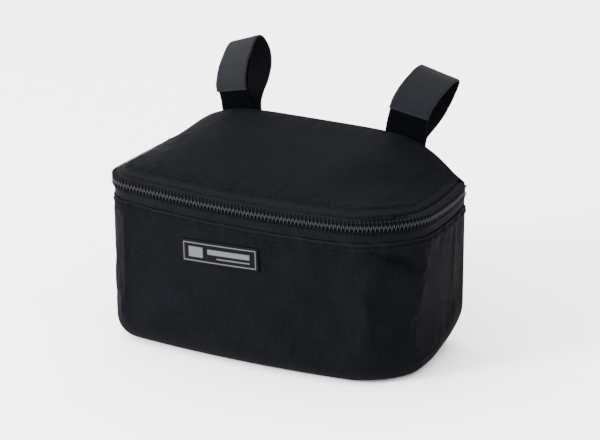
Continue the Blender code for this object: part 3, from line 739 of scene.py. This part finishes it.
lid_roll = LID_EDGE_ROLL * (1 - np.cos(np.radians((6, 20, 40, 60, 75, 90))))
lid_across = graded(0.0, 1.0, lid_roll / BAG_WIDTH, 150)
lid_along = np.concatenate([[0.0], lid_roll / BAG_DEPTH, np.linspace(lid_roll[-1] / BAG_DEPTH, 1, 76)[1:]])
plan = lid_plan(LID_INSET, SEAM_Y - 0.5 * SEAM_GAP, lid_across, lid_along)
lid_edge = OUTLINE - OUTLINE_NORMALS * LID_INSET
from_edge = distance_to_path(plan.reshape(-1, 2), lid_edge[::3]).reshape(plan.shape[:2])
turned = np.maximum(1 - from_edge / LID_EDGE_ROLL, 0)
drop = LID_EDGE_ROLL * (1 - np.sqrt(np.maximum(1 - turned ** 2, 0)))
lid_run = plan[:, :, 0] + np.sign(plan[:, :, 0]) * (plan[:, :, 1] + HALF_DEPTH)
stitch_groove = LID_GROOVE * falloff(from_edge - LID_STITCH_INSET, LID_GROOVE_HALF_WIDTH)
near_edge = np.exp(-(from_edge / LID_RIPPLE_REACH) ** 1.6) * np.clip(from_edge / LID_EDGE_ROLL, 0, 1)
ripple = LID_RIPPLE * pucker(lid_run) * near_edge
to_ridge = SEAM_Y - plan[:, :, 1]
near_ridge = falloff(to_ridge, RIDGE_SLACK_REACH) * np.clip(to_ridge / WALL, 0, 1)
ridge_slack = RIDGE_SLACK * pucker(plan[:, :, 0], 1.7) * near_ridge
lid_z = lid_level(plan[:, :, 0], plan[:, :, 1]) - drop - stitch_groove + ripple - np.maximum(ridge_slack, 0)
lid_points = np.concatenate([plan, lid_z[:, :, None]], axis=2)
lid_middle = (slice(10, None), slice(10, -10))
lid_points[lid_middle] += cloth_slack("slack_lid", lid_points[lid_middle], row_step=2, column_step=3,
                                      pressure=1.5, growth=0.008, reach=0.0008)
lid_rub = 0.5 * falloff(from_edge - EDGE_RUB_INSET, 0.0014)
lid = sewn_piece("lid_cloth_panel", lid_points, sheet_faces(*lid_z.shape), plan, padded_cloth, lid_rub)
foam = lid.modifiers.new("foam", "SOLIDIFY")
foam.thickness = WALL
foam.offset = -1.0
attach(lid, "root")
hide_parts("lid_panel")

lid_line_flat = (OUTLINE - OUTLINE_NORMALS * (LID_INSET + LID_STITCH_INSET))[8:-8:2]
lid_line_z = lid_level(lid_line_flat[:, 0], lid_line_flat[:, 1]) - LID_GROOVE
lid_line = np.column_stack([lid_line_flat, lid_line_z])
upward = np.tile((0.0, 0.0, 1.0), (len(lid_line), 1))
lid_stitches = stitches("lid_edge_stitches", lid_line, upward, thread)
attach(lid_stitches, "root")

# The zip's tapes. Two strips of black woven polyester tape. The lower one, with a slight woven ridge under
# the coil, is sewn behind the hem, and the upper one is turned in under the edge of the lid.
TAPE_THICKNESS = 0.0012
TAPE_RECESS = 0.0014
TAPE_TUCK = 0.005
zip_tape = woven_finish("zip_tape_woven", (0.0007, 0.0008, 0.0012), (0.0050, 0.0054, 0.0068),
                        thread_width=0.00035, relief=0.00010, roughness=0.72, sheen=0.01, rib=3.0)
tape_runs = np.linspace(RUN_LEFT + 0.0002, RUN_RIGHT - 0.0002, 321)


def swept_tape(name, outer, thickness, finish):
    """Make a strip that follows the zip, from its outer face given as (out, up) points."""
    outer = np.array(outer)
    inner = outer[::-1] + path_normals(outer)[::-1] * thickness
    section = np.concatenate([outer, inner])
    if (section[:, 0] * np.roll(section[:, 1], -1) - section[:, 1] * np.roll(section[:, 0], -1)).sum() < 0:
        section = section[::-1]
    places, outward = around(tape_runs)
    wave = 0.00016 * pucker(tape_runs, 0.9)[:, None]
    out = section[None, :, 0] + wave * np.clip(np.abs(section[None, :, 1]) / 0.006 - 0.6, 0, 1)
    z = zip_level(places[:, 0])[:, None] + section[None, :, 1]
    points = stood_off(places[:, None, :], outward[:, None, :], out, z)
    length = lengths_along(section)
    uv = np.stack(np.broadcast_arrays(tape_runs[:, None], length[None, :]), axis=2)
    return sewn_piece(name, points, tube_faces(*z.shape), uv, finish)


tape_out = -TAPE_RECESS
hidden = -WALL - SEAM_GAP
# columns: out, up from the zip's middle
lower = (
    (tape_out, -SEAM_GAP),
    (tape_out, -0.0040),
    (tape_out + 0.00035, -0.0050),
    (tape_out + 0.00055, -0.0058),
    (tape_out + 0.00030, -0.0066),
    (tape_out + 0.0001, -0.0078),
    (tape_out + 0.0002, -0.0092),
    (tape_out - 0.0002, -0.0103),
    (hidden, -HEM_DROP - 0.0006),
    (hidden, -HEM_DROP - 0.003),
    (hidden, -HEM_DROP - TAPE_TUCK),
)
tape_lower = swept_tape("lower_tape", lower, TAPE_THICKNESS * 0.8, zip_tape)
shelf = LID_FOLD_RISE - LID_EDGE_ROLL - 2.5 * SEAM_GAP
upper = (
    (tape_out, SEAM_GAP),
    (tape_out, 0.0018),
    (tape_out - 0.0003, shelf - 0.0006),
    (tape_out - 0.0010, shelf - 0.0001),
    (tape_out - 0.0020, shelf),
    (-LID_INSET, shelf),
    (-LID_INSET - TAPE_TUCK, shelf),
)
tape_upper = swept_tape("upper_tape", upper, -TAPE_THICKNESS * 0.8, zip_tape)
for piece, node in ((tape_lower, "zip_tape_lower"), (tape_upper, "zip_tape_upper")):
    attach(piece, "root")
    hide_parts(node)

# The zip's coil. Two rows of black nylon monofilament, each wound in flat turns round a core cord and sewn
# to its tape by two threads, closed so that the heads of the turns sit between one another.
TOOTH_PITCH = 0.0027
COIL_BASE = -TAPE_RECESS + 0.0002
MILLIMETRE = 0.001
# One turn from the tape's side over the face to its head and back under.
# columns: along in pitches, out, up from the zip's middle, half_thickness, all in millimetres but the first
COIL_TURN = (
    (-0.20, 0.50, 4.00, 0.34),
    (-0.18, 1.35, 4.05, 0.35),
    (-0.13, 2.00, 3.55, 0.36),
    (-0.05, 2.28, 2.30, 0.38),
    (0.05, 2.38, 1.00, 0.40),
    (0.12, 2.34, 0.00, 0.43),
    (0.15, 2.00, -0.75, 0.45),
    (0.17, 1.30, -0.90, 0.43),
    (0.22, 0.75, -0.30, 0.38),
    (0.45, 0.45, 1.60, 0.34),
    (0.62, 0.42, 3.40, 0.34),
)


def plastic_finish(name, dark, light, roughness, coat):
    """Smooth plastic or paint, finely specked, paler where a painted highlight is laid on it."""
    made, tree, shader = new_finish(name, 0.05)
    shader.inputs["Coat Weight"].default_value = coat
    shader.inputs["Coat Roughness"].default_value = 0.35
    place = tree.nodes.new("ShaderNodeTexCoord").outputs["Object"]
    cloud = blotches(tree, place, 160.0, 3.0)
    speck = blotches(tree, place, 2600.0, 2.0)
    tone = weighted(tree, 0.0, (cloud, 0.25), (wear_print_and_highlight_share(tree), 0.80))
    tree.links.new(blended(tree, tone, dark, light), shader.inputs["Base Color"])
    tree.links.new(weighted(tree, roughness - 0.09, (speck, 0.18)), shader.inputs["Roughness"])
    raise_grain(tree, shader, speck, 0.00003)
    return made


def coil_half(name, side, finish):
    """Make one row of the coil, each turn a bar of its own."""
    turn = np.array(COIL_TURN)
    count = int((RUN_RIGHT - RUN_LEFT) / TOOTH_PITCH) - 2
    middle = RUN_LEFT + TOOTH_PITCH * (np.arange(count) + 1.0 + 0.25 * side)
    run = middle[:, None] + turn[None, :, 0] * TOOTH_PITCH
    places, outward = around(run)
    z = zip_level(places[:, :, 0]) + side * turn[None, :, 2] * MILLIMETRE
    paths = stood_off(places, outward, COIL_BASE + turn[:, 1] * MILLIMETRE, z)
    along = np.stack([-outward[:, :, 1], outward[:, :, 0], np.zeros(run.shape)], axis=2)
    # Painted highlight: the outward heads of the turns near the zip's middle get the nylon's paler colour,
    # where light catches them.
    painted_highlight = np.broadcast_to(falloff(turn[:, 2], 2.2) * np.clip(turn[:, 1] - 1.0, 0, 1), run.shape)
    return tubes(name, paths, along, turn[None, :, 3] * MILLIMETRE, 8, finish, painted_highlight)


def zip_cord(name, side, up, out, half_thickness, wave, finish):
    """Make one long cord that follows the zip."""
    count = int((RUN_RIGHT - RUN_LEFT) / TOOTH_PITCH) * 4
    run = np.linspace(RUN_LEFT + 0.0006, RUN_RIGHT - 0.0006, count)[None, :]
    places, outward = around(run)
    bob = wave * np.cos(2 * math.pi * (run - RUN_LEFT) / TOOTH_PITCH)
    paths = stood_off(places, outward, COIL_BASE + out + bob, zip_level(places[:, :, 0]) + side * up)
    vertical = np.broadcast_to((0.0, 0.0, 1.0), paths.shape)
    return tubes(name, paths, vertical, half_thickness, 6, finish)


# The nylon's paler colour is a painted highlight, laid only on the heads of the turns.
nylon = plastic_finish("coil_nylon", (0.0003, 0.0004, 0.0007), (0.0170, 0.0178, 0.0200),
                       roughness=0.30, coat=0.01)
for side, word in ((-1, "lower"), (1, "upper")):
    coil = coil_half("coil_" + word, side, nylon)
    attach(coil, "root")
    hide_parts("zip_coil_" + word)
    core = zip_cord("coil_core_" + word, side, up=0.0026, out=0.00125, half_thickness=0.0008, wave=0.0,
                    finish=thread)
    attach(core, "root")
    for row, up in enumerate((0.0024, 0.0033)):
        sewing = zip_cord("coil_sewing_%s_%d" % (word, row), side, up, out=0.0026, half_thickness=0.00017,
                          wave=0.00028, finish=thread)
        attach(sewing, "root")

# The slider. A small painted die casting at the closed left end, near the back, with a bridge over its body
# and a plain pull that hangs down.
SLIDER_SETBACK = 0.0075
SLIDER_LENGTH = 0.011
SLIDER_HEIGHT = 0.0082
SLIDER_DROP = 0.0010
PULL_LENGTH = 0.026
PULL_WIDTH = 0.0065
BRIDGE_LENGTH = 0.0032
BRIDGE_HEIGHT = 0.0072
SLIDER_STAND = 0.0020
slider_run = RUN_LEFT + SLIDER_SETBACK
slider_place, slider_out = around(np.array(slider_run))
slider_side = np.array((-slider_out[1], slider_out[0]))
slider_level = zip_level(slider_place[0]) - SLIDER_DROP


def slider_point(along, out, up):
    flat = slider_place + slider_out * out + slider_side * along
    return (flat[0], flat[1], slider_level + up)


def plate(outline, low, high, crown, start):
    """Points and faces of a plate with a crowned, rounded face, its outline given as (along, up)."""
    outline = np.array(outline)
    middle = outline.mean(axis=0)
    # columns: share of the outline, distance out
    layers = (
        (1.0, low),
        (1.0, high - crown),
        (0.93, high - crown * 0.35),
        (0.80, high),
        (0.35, high + crown * 0.3),
    )
    points = []
    for share, out in layers:
        for along, up in middle + (outline - middle) * share:
            points.append(slider_point(along, out, up))
    return points, tube_faces(len(layers), len(outline), start)


def rounded_outline(corners, radius, steps):
    """Flat outline with each corner rounded."""
    corners = np.array(corners, float)
    made = []
    for index, corner in enumerate(corners):
        before = corners[index - 1] - corner
        after = corners[(index + 1) % len(corners)] - corner
        first = corner + before / np.linalg.norm(before) * radius
        last = corner + after / np.linalg.norm(after) * radius
        for share in np.linspace(0, 1, steps):
            made.append((1 - share) ** 2 * first + 2 * share * (1 - share) * corner + share ** 2 * last)
    return made


half = SLIDER_LENGTH / 2
head = SLIDER_HEIGHT / 2
body_shape = rounded_outline(((-half, -head * 0.7), (half * 0.4, -head), (half, -head * 0.8),
                              (half, head * 0.8), (half * 0.4, head), (-half, head * 0.7)), 0.0016, 6)
wide = BRIDGE_LENGTH / 2
tall = BRIDGE_HEIGHT / 2
bridge_shape = rounded_outline(((-wide, -tall), (wide, -tall), (wide, tall), (-wide, tall)), 0.0009, 5)
pull = PULL_WIDTH / 2
pull_foot = -head - PULL_LENGTH
pull_shape = rounded_outline(((-pull * 0.7, 0.0005), (-pull, pull_foot), (pull, pull_foot),
                              (pull * 0.7, 0.0005)), 0.0016, 6)
# columns: outline, distances out of its foot and face, crown
slider_plates = (
    (body_shape, SLIDER_STAND, SLIDER_STAND + 0.0010, 0.0004),
    (bridge_shape, SLIDER_STAND + 0.0008, SLIDER_STAND + 0.0026, 0.0006),
    (pull_shape, SLIDER_STAND + 0.0014, SLIDER_STAND + 0.0022, 0.0003),
)
slider_points = []
slider_faces = []
for shape, low, high, crown in slider_plates:
    part_points, part_faces = plate(shape, low, high, crown, len(slider_points))
    slider_points += part_points
    slider_faces += part_faces
painted = plastic_finish("slider_paint", (0.004, 0.0042, 0.0050), (0.009, 0.0093, 0.0105),
                         roughness=0.36, coat=0.10)
slider_points = np.array(slider_points)
slider = sewn_piece("zip_slider_and_pull", slider_points, slider_faces, slider_points[:, 1:], painted)
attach(slider, "root")
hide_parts("zip_slider")

# The label. A moulded patch of soft charcoal rubber, sewn flat on the front left of the middle. Its raised
# rim and its three plain raised bars are painted a paler grey.
LABEL_WIDTH = 0.0585
LABEL_HEIGHT = 0.0162
LABEL_THICKNESS = 0.0014
LABEL_SINK = 0.0003
LABEL_ROUNDING = 0.0006
LABEL_TURN = math.radians(2.0)
LABEL_MARGIN = 0.0016
LABEL_RIM = 0.0007
LABEL_RELIEF = 0.0004
# columns: left, right, foot, top, in millimetres from the label's middle
LABEL_BARS = (
    (-23.5, -12.5, -3.6, 3.6),
    (-9.0, 23.0, -0.6, 3.0),
    (-2.0, 23.0, -3.4, -2.6),
)


def step_up(distance, blend=0.00018):
    """Share of a raised part's height, which rises over a short blend at its edge."""
    return np.clip(distance / blend + 0.5, 0, 1)


label_across = np.linspace(-LABEL_WIDTH / 2, LABEL_WIDTH / 2, 230)[None, :]
label_up = np.linspace(-LABEL_HEIGHT / 2, LABEL_HEIGHT / 2, 66)[:, None]
inside = np.minimum(LABEL_WIDTH / 2 - np.abs(label_across), LABEL_HEIGHT / 2 - np.abs(label_up))
raised = step_up(inside - LABEL_MARGIN) * step_up(LABEL_MARGIN + LABEL_RIM - inside)
for left, right, foot, top in np.array(LABEL_BARS) * MILLIMETRE:
    reach = np.minimum(np.minimum(label_across - left, right - label_across),
                       np.minimum(label_up - foot, top - label_up))
    raised = np.maximum(raised, step_up(reach))
rounding = 1 - np.clip(inside / LABEL_ROUNDING, 0, 1)
rounded_edge = LABEL_THICKNESS * (1 - np.sqrt(np.clip(1 - rounding ** 2, 0, 1)))
label_run = -LABEL_OFFSET + label_across * math.cos(LABEL_TURN) - label_up * math.sin(LABEL_TURN)
label_z = ZIP_HEIGHT - LABEL_DROP + label_up * math.cos(LABEL_TURN) + label_across * math.sin(LABEL_TURN)
label_places, label_out = around(label_run)
label_base = wall_out(label_run, label_z, zip_level(label_places[:, :, 0]) - HEM_DROP)
stand = label_base + LABEL_THICKNESS + LABEL_RELIEF * raised - 0.6 * rounded_edge
label_face = stood_off(label_places, label_out, stand, label_z)
label_back = stood_off(label_places, label_out, label_base - LABEL_SINK, label_z)
rows, columns = label_z.shape
label_faces = sheet_faces(rows, columns)
label_faces += [tuple(reversed(quad)) for quad in sheet_faces(rows, columns, rows * columns)]
border = list(range(columns)) + [row * columns + columns - 1 for row in range(1, rows)]
border += [(rows - 1) * columns + column for column in range(columns - 2, -1, -1)]
border += [row * columns for row in range(rows - 2, 0, -1)]
for first, following in zip(border, border[1:] + border[:1]):
    label_faces.append((following, first, rows * columns + first, rows * columns + following))


def rubber_finish(name, dark, light, paint):
    """Moulded rubber, fine-grained, with its raised parts in a paler paint."""
    made, tree, shader = new_finish(name, 0.03)
    place = tree.nodes.new("ShaderNodeTexCoord").outputs["Object"]
    cloud = blotches(tree, place, 90.0, 3.0)
    speck = blotches(tree, place, 3200.0, 2.0)
    mixed = tree.nodes.new("ShaderNodeMix")
    mixed.data_type = "RGBA"
    tree.links.new(maths(tree, "MULTIPLY", wear_print_and_highlight_share(tree), 0.92), mixed.inputs["Factor"])
    tree.links.new(blended(tree, cloud, dark, light), mixed.inputs["A"])
    mixed.inputs["B"].default_value = (*paint, 1.0)
    tree.links.new(mixed.outputs["Result"], shader.inputs["Base Color"])
    tree.links.new(weighted(tree, 0.42, (speck, 0.2)), shader.inputs["Roughness"])
    raise_grain(tree, shader, speck, 0.00005)
    return made


label_rubber = rubber_finish("label_rubber_moulded", (0.0004, 0.0005, 0.0008), (0.0018, 0.0020, 0.0028),
                             paint=(0.060, 0.062, 0.066))
label_uv = np.concatenate([np.stack(np.broadcast_arrays(label_across, label_up), axis=2)] * 2)
label_points = np.concatenate([label_face, label_back])
label_paint = np.concatenate([raised, np.zeros(raised.shape)])
label = sewn_piece("rubber_label", label_points, label_faces, label_uv, label_rubber, label_paint)
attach(label, "root")
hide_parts("label_patch")

# The straps. On each side a short strip of black loop tape stands up from the ridge, and a long strip of
# ribbed 30 mm webbing goes back, up and over, and closes on it. Both are sewn flat to the back panel.
WEBBING_WIDTH = 0.030
WEBBING_THICKNESS = 0.0016
STRAP_SPACING = 0.127
STRAP_TAB = 0.026
LAYER_GAP = 0.0005
TWIST_DROP = 0.002
TWIST_LENGTH = 0.015
FLAP_START = 0.98
FLAP_END = 0.64
TACK_INSET = 0.003
TACK_FOOT = -0.023
TACK_TOP = -0.006
# columns: name, side, root_lean, top_lean and yaw in degrees, loop_depth, loop_height
STRAPS = (
    ("left", -1, 13, 21, -16, 0.0290, 0.0430),
    ("right", 1, -6, -13, -3, 0.0370, 0.0375),
)
# Loop outlines seen from the side, as shares of loop_depth behind the back panel and of loop_height over the
# ridge.
# columns: depth, height
FRONT_STRANDS = {
    "left": (
        (-0.01, 0.12), (-0.06, 0.23), (-0.06, 0.36), (0.03, 0.48), (0.16, 0.60), (0.33, 0.72),
    ),
    "right": (
        (0.03, 0.12), (0.05, 0.28), (0.08, 0.46), (0.17, 0.61), (0.31, 0.73), (0.48, 0.84),
    ),
}
REAR_STRANDS = {
    "left": (
        (0.34, 0.14), (0.64, 0.32), (0.88, 0.51), (1.00, 0.69),
        (1.01, 0.86), (0.94, 0.97), (0.79, 0.98), (0.57, 0.90),
    ),
    "right": (
        (0.22, 0.04), (0.48, 0.14), (0.72, 0.31), (0.89, 0.52), (0.98, 0.73),
        (1.00, 0.89), (0.93, 0.985), (0.80, 1.005), (0.64, 0.975),
    ),
}


def smooth_path(points, spacing):
    """Catmull-Rom curve through the points, at an even spacing."""
    given = np.array(points, float)
    padded = np.vstack([2 * given[0] - given[1], given, 2 * given[-1] - given[-2]])
    dense = []
    for index in range(1, len(padded) - 2):
        before, start, end, after = padded[index - 1:index + 3]
        for share in np.linspace(0, 1, 16, endpoint=False):
            dense.append(0.5 * (2 * start + (end - before) * share
                                + (2 * before - 5 * start + 4 * end - after) * share ** 2
                                + (3 * start - before - 3 * end + after) * share ** 3))
    dense.append(given[-1])
    dense = np.array(dense)
    length = lengths_along(dense)
    even = np.linspace(0, length[-1], max(int(round(length[-1] / spacing)), 2) + 1)
    return read_off(even, length, dense)


def strap_frame(root_lean, top_lean, yaw, loop_height, height):
    """Width, depth and rise directions of a strap, which leans and twists as it leaves the panel."""
    risen = min(max(height / loop_height, 0), 1)
    tilt = math.radians(root_lean + (top_lean - root_lean) * risen)
    share = min(max((height + TWIST_DROP) / TWIST_LENGTH, 0), 1)
    twist = math.radians(yaw) * share * share * (3 - 2 * share)
    level = np.array([math.cos(tilt), 0, math.sin(tilt)])
    depth = np.array([0, 1, 0])
    rise = np.array([-math.sin(tilt), 0, math.cos(tilt)])
    return (math.cos(twist) * level + math.sin(twist) * depth,
            -math.sin(twist) * level + math.cos(twist) * depth, rise)


def webbing_strip(name, path, base, turning, outer, inner, finish, lining=None):
    """Make one strip of webbing. outer and inner give its half thickness at shares across its width."""
    share = np.linspace(-1, 1, 61)
    normals = path_normals(path)
    rings = []
    for (depth, height), (out, up) in zip(path, normals):
        width, back, rise = strap_frame(*turning, height)
        middle = base + back * depth + rise * height
        thick = back * out + rise * up
        edge = middle + width * (WEBBING_WIDTH / 2) * share[:, None]
        low = edge - thick * inner(share)[:, None]
        high = edge[::-1] + thick * outer(share)[::-1, None]
        rings.append(np.concatenate([low, high]))
    points = np.array(rings)
    length = lengths_along(path)
    across = np.concatenate([share, share[::-1]]) * WEBBING_WIDTH / 2
    uv = np.stack(np.broadcast_arrays(across[None, :], length[:, None]), axis=2)
    ends = np.minimum(length, length[-1] - length)[:, None]
    from_selvedge = WEBBING_WIDTH / 2 - np.abs(across[None, :])
    wear_print_and_highlight = 0.45 * falloff(from_selvedge, 0.0008) + 0.5 * falloff(ends, 0.0012)
    strip = sewn_piece(name, points, tube_faces(*points.shape[:2]), uv, finish, wear_print_and_highlight)
    if lining is not None:
        strip.data.materials.append(lining)
        sides = points.shape[1]
        number = np.arange(len(strip.data.polygons)) - 1
        lined = (number >= 0) & (number % sides >= len(share)) & (number < (len(path) - 1) * sides)
        strip.data.polygons.foreach_set("material_index", lined.astype(np.int32))
    return strip


def ribbed(share):
    """Half thickness of ribbed webbing, rounded at its woven edges."""
    edge = np.sqrt(np.clip(1 - np.clip((np.abs(share) - 0.94) / 0.062, 0, 1) ** 2, 0, 1))
    groove = 0.00010 * (1 - np.abs(np.sin(math.pi * share * 10)))
    return (WEBBING_THICKNESS / 2 - groove) * np.maximum(edge, 0.25)


def piled(share):
    """Half thickness of loop tape: thin flat edges and a raised field of loops."""
    field = np.clip((0.90 - np.abs(share)) / 0.05, 0, 1)
    return WEBBING_THICKNESS / 2 * (0.35 + 0.65 * field)


def smooth_face(share):
    """Half thickness of the plain underside of webbing or loop tape."""
    return np.full(share.shape, WEBBING_THICKNESS * 0.35)


webbing = woven_finish("webbing_ribbed", (0.0024, 0.0027, 0.0036), (0.0076, 0.0082, 0.0100),
                       thread_width=0.00050, relief=0.00012, roughness=0.60, sheen=0.02, rib=1.6)
hook_side = woven_finish("webbing_hooks", (0.0012, 0.0014, 0.0022), (0.0040, 0.0044, 0.0062),
                         thread_width=0.00060, relief=0.00025, roughness=0.70, sheen=0.005)


def pile_finish(name, dark, light):
    """Loop tape: a dense field of tiny loops, near black."""
    made, tree, shader = new_finish(name, 0.008)
    shader.inputs["Sheen Weight"].default_value = 0.001
    shader.inputs["Sheen Roughness"].default_value = 0.7
    shader.inputs["Roughness"].default_value = 0.92
    cloth = cloth_place(tree)
    loops = blotches(tree, cloth, 1100.0, 4.0)
    patch = blotches(tree, cloth, 160.0, 2.0)
    tone = weighted(tree, 0.0, (loops, 0.5), (patch, 0.3), (wear_print_and_highlight_share(tree), 2.2))
    tree.links.new(blended(tree, tone, dark, light), shader.inputs["Base Color"])
    raise_grain(tree, shader, loops, 0.0005)
    return made


loop_tape = pile_finish("loop_tape_pile", (0.0002, 0.0003, 0.0006), (0.0010, 0.0012, 0.0018))

for name, side, root_lean, top_lean, yaw, loop_depth, loop_height in STRAPS:
    x = side * STRAP_SPACING / 2
    base_point = np.array([x, HALF_DEPTH + SEAM_GAP, ridge_level(x)])
    size = np.array([loop_depth, loop_height])
    turning = (root_lean, top_lean, yaw, loop_height)
    first = WEBBING_THICKNESS / 2
    second = first + WEBBING_THICKNESS + LAYER_GAP
    straight = STRAP_TAB * 0.5
    front = [(first, -STRAP_TAB), (first, -straight), (first, -WEBBING_THICKNESS)]
    front += [tuple(np.array(row) * size) for row in FRONT_STRANDS[name]]
    short = smooth_path(front, MILLIMETRE)
    short_strap = webbing_strip("strap_short_" + name, short, base_point, turning, piled, smooth_face,
                                loop_tape)
    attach(short_strap, "root")
    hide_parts("strap_%s_short" % name)
    outside = short + path_normals(short) * (WEBBING_THICKNESS + LAYER_GAP)
    closed = np.linspace(FLAP_START, FLAP_END, 6) * (len(short) - 1)
    rear = [(second, -STRAP_TAB), (second, -straight), (second + LAYER_GAP, -WEBBING_THICKNESS)]
    rear += [tuple(np.array(row) * size) for row in REAR_STRANDS[name]]
    long_path = smooth_path(rear + [tuple(outside[int(place)]) for place in closed], MILLIMETRE)
    long_strap = webbing_strip("strap_long_" + name, long_path, base_point, turning, smooth_face, ribbed,
                               webbing, hook_side)
    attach(long_strap, "root")
    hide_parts("strap_%s_long" % name)
    width, back_way, rise = strap_frame(*turning, -1)
    reach = WEBBING_WIDTH / 2 - TACK_INSET
    box = np.array([(-reach, TACK_FOOT), (reach, TACK_FOOT), (reach, TACK_TOP), (-reach, TACK_TOP),
                    (-reach, TACK_FOOT), (reach, TACK_TOP), (-reach, TACK_TOP), (reach, TACK_FOOT)])
    sides = [np.linspace(start, end, 14)[:-1] for start, end in zip(box[:-1], box[1:])]
    dense = np.concatenate(sides + [box[-1:]])
    level = second + WEBBING_THICKNESS / 2 - 0.00005
    cross = base_point + width * dense[:, :1] + rise * dense[:, 1:] + back_way * level
    facing = np.tile(back_way, (len(cross), 1))
    bartack = stitches("strap_stitches_" + name, cross, facing, thread, length=0.0022, gap=0.0007)
    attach(bartack, "root")

# The floor and the light. A wide pale floor, a large soft light over the front left, a weaker one from
# behind and a bright surround that is brighter towards the first light.
floor_mesh = bpy.data.meshes.new("floor")
floor_mesh.from_pydata([(-6, -6, 0), (6, -6, 0), (6, 6, 0), (-6, 6, 0)], [], [(0, 1, 2, 3)])
floor = bpy.data.objects.new("floor", floor_mesh)
floor.location.z = -0.0003
bpy.context.collection.objects.link(floor)
pale = bpy.data.materials.new("floor_pale")
pale.use_nodes = True
pale_shader = pale.node_tree.nodes["Principled BSDF"]
pale_shader.inputs["Base Color"].default_value = (0.97, 0.97, 0.97, 1.0)
pale_shader.inputs["Roughness"].default_value = 0.9
pale_shader.inputs["Specular IOR Level"].default_value = 0.1
floor_mesh.materials.append(pale)

world = bpy.data.worlds.new("studio")
bpy.context.scene.world = world
world.use_nodes = True
surround = world.node_tree
surround.nodes["Background"].inputs["Color"].default_value = (1.0, 1.0, 1.0, 1.0)
direction = surround.nodes.new("ShaderNodeTexCoord")
toward_light = surround.nodes.new("ShaderNodeVectorMath")
toward_light.operation = "DOT_PRODUCT"
toward_light.inputs[1].default_value = (-0.62, -0.52, 0.59)
surround.links.new(direction.outputs["Generated"], toward_light.inputs[0])
brightness = maths(surround, "ADD", maths(surround, "MULTIPLY", toward_light.outputs["Value"], 2.9), 3.1)
surround.links.new(brightness, surround.nodes["Background"].inputs["Strength"])


def soft_light(name, place, target, size, power):
    lamp = bpy.data.lights.new(name, "AREA")
    lamp.shape = "DISK"
    lamp.size = size
    lamp.energy = power
    made = bpy.data.objects.new(name, lamp)
    made.location = place
    aim = np.array(target) - np.array(place)
    yaw = math.atan2(aim[0], -aim[1])
    pitch = math.atan2(math.hypot(aim[0], aim[1]), -aim[2])
    made.rotation_euler = (pitch, 0, math.pi + yaw)
    bpy.context.collection.objects.link(made)
    return made


soft_light("key_light", (-1.1, -1.6, 0.9), (0, 0, 0.08), size=0.6, power=110)
soft_light("rear_light", (-0.3, 1.5, 1.3), (0, 0, 0.10), size=0.9, power=12)

# The camera. A long lens at the photograph's angle, a little to the right of the front and above it,
# aimed at the bag's middle.
AZIMUTH = math.radians(27.4)
ELEVATION = math.radians(19.0)
DISTANCE = 1.787
TARGET = (0.0112, 0.0, 0.0885)
lens = bpy.data.cameras.new("camera")
lens.sensor_width = 36
lens.lens = 158.8
camera = bpy.data.objects.new("camera", lens)
camera.location = (TARGET[0] + DISTANCE * math.sin(AZIMUTH) * math.cos(ELEVATION),
                   TARGET[1] - DISTANCE * math.cos(AZIMUTH) * math.cos(ELEVATION),
                   TARGET[2] + DISTANCE * math.sin(ELEVATION))
camera.rotation_euler = (math.pi / 2 - ELEVATION, 0, AZIMUTH)
bpy.context.collection.objects.link(camera)
bpy.context.scene.camera = camera
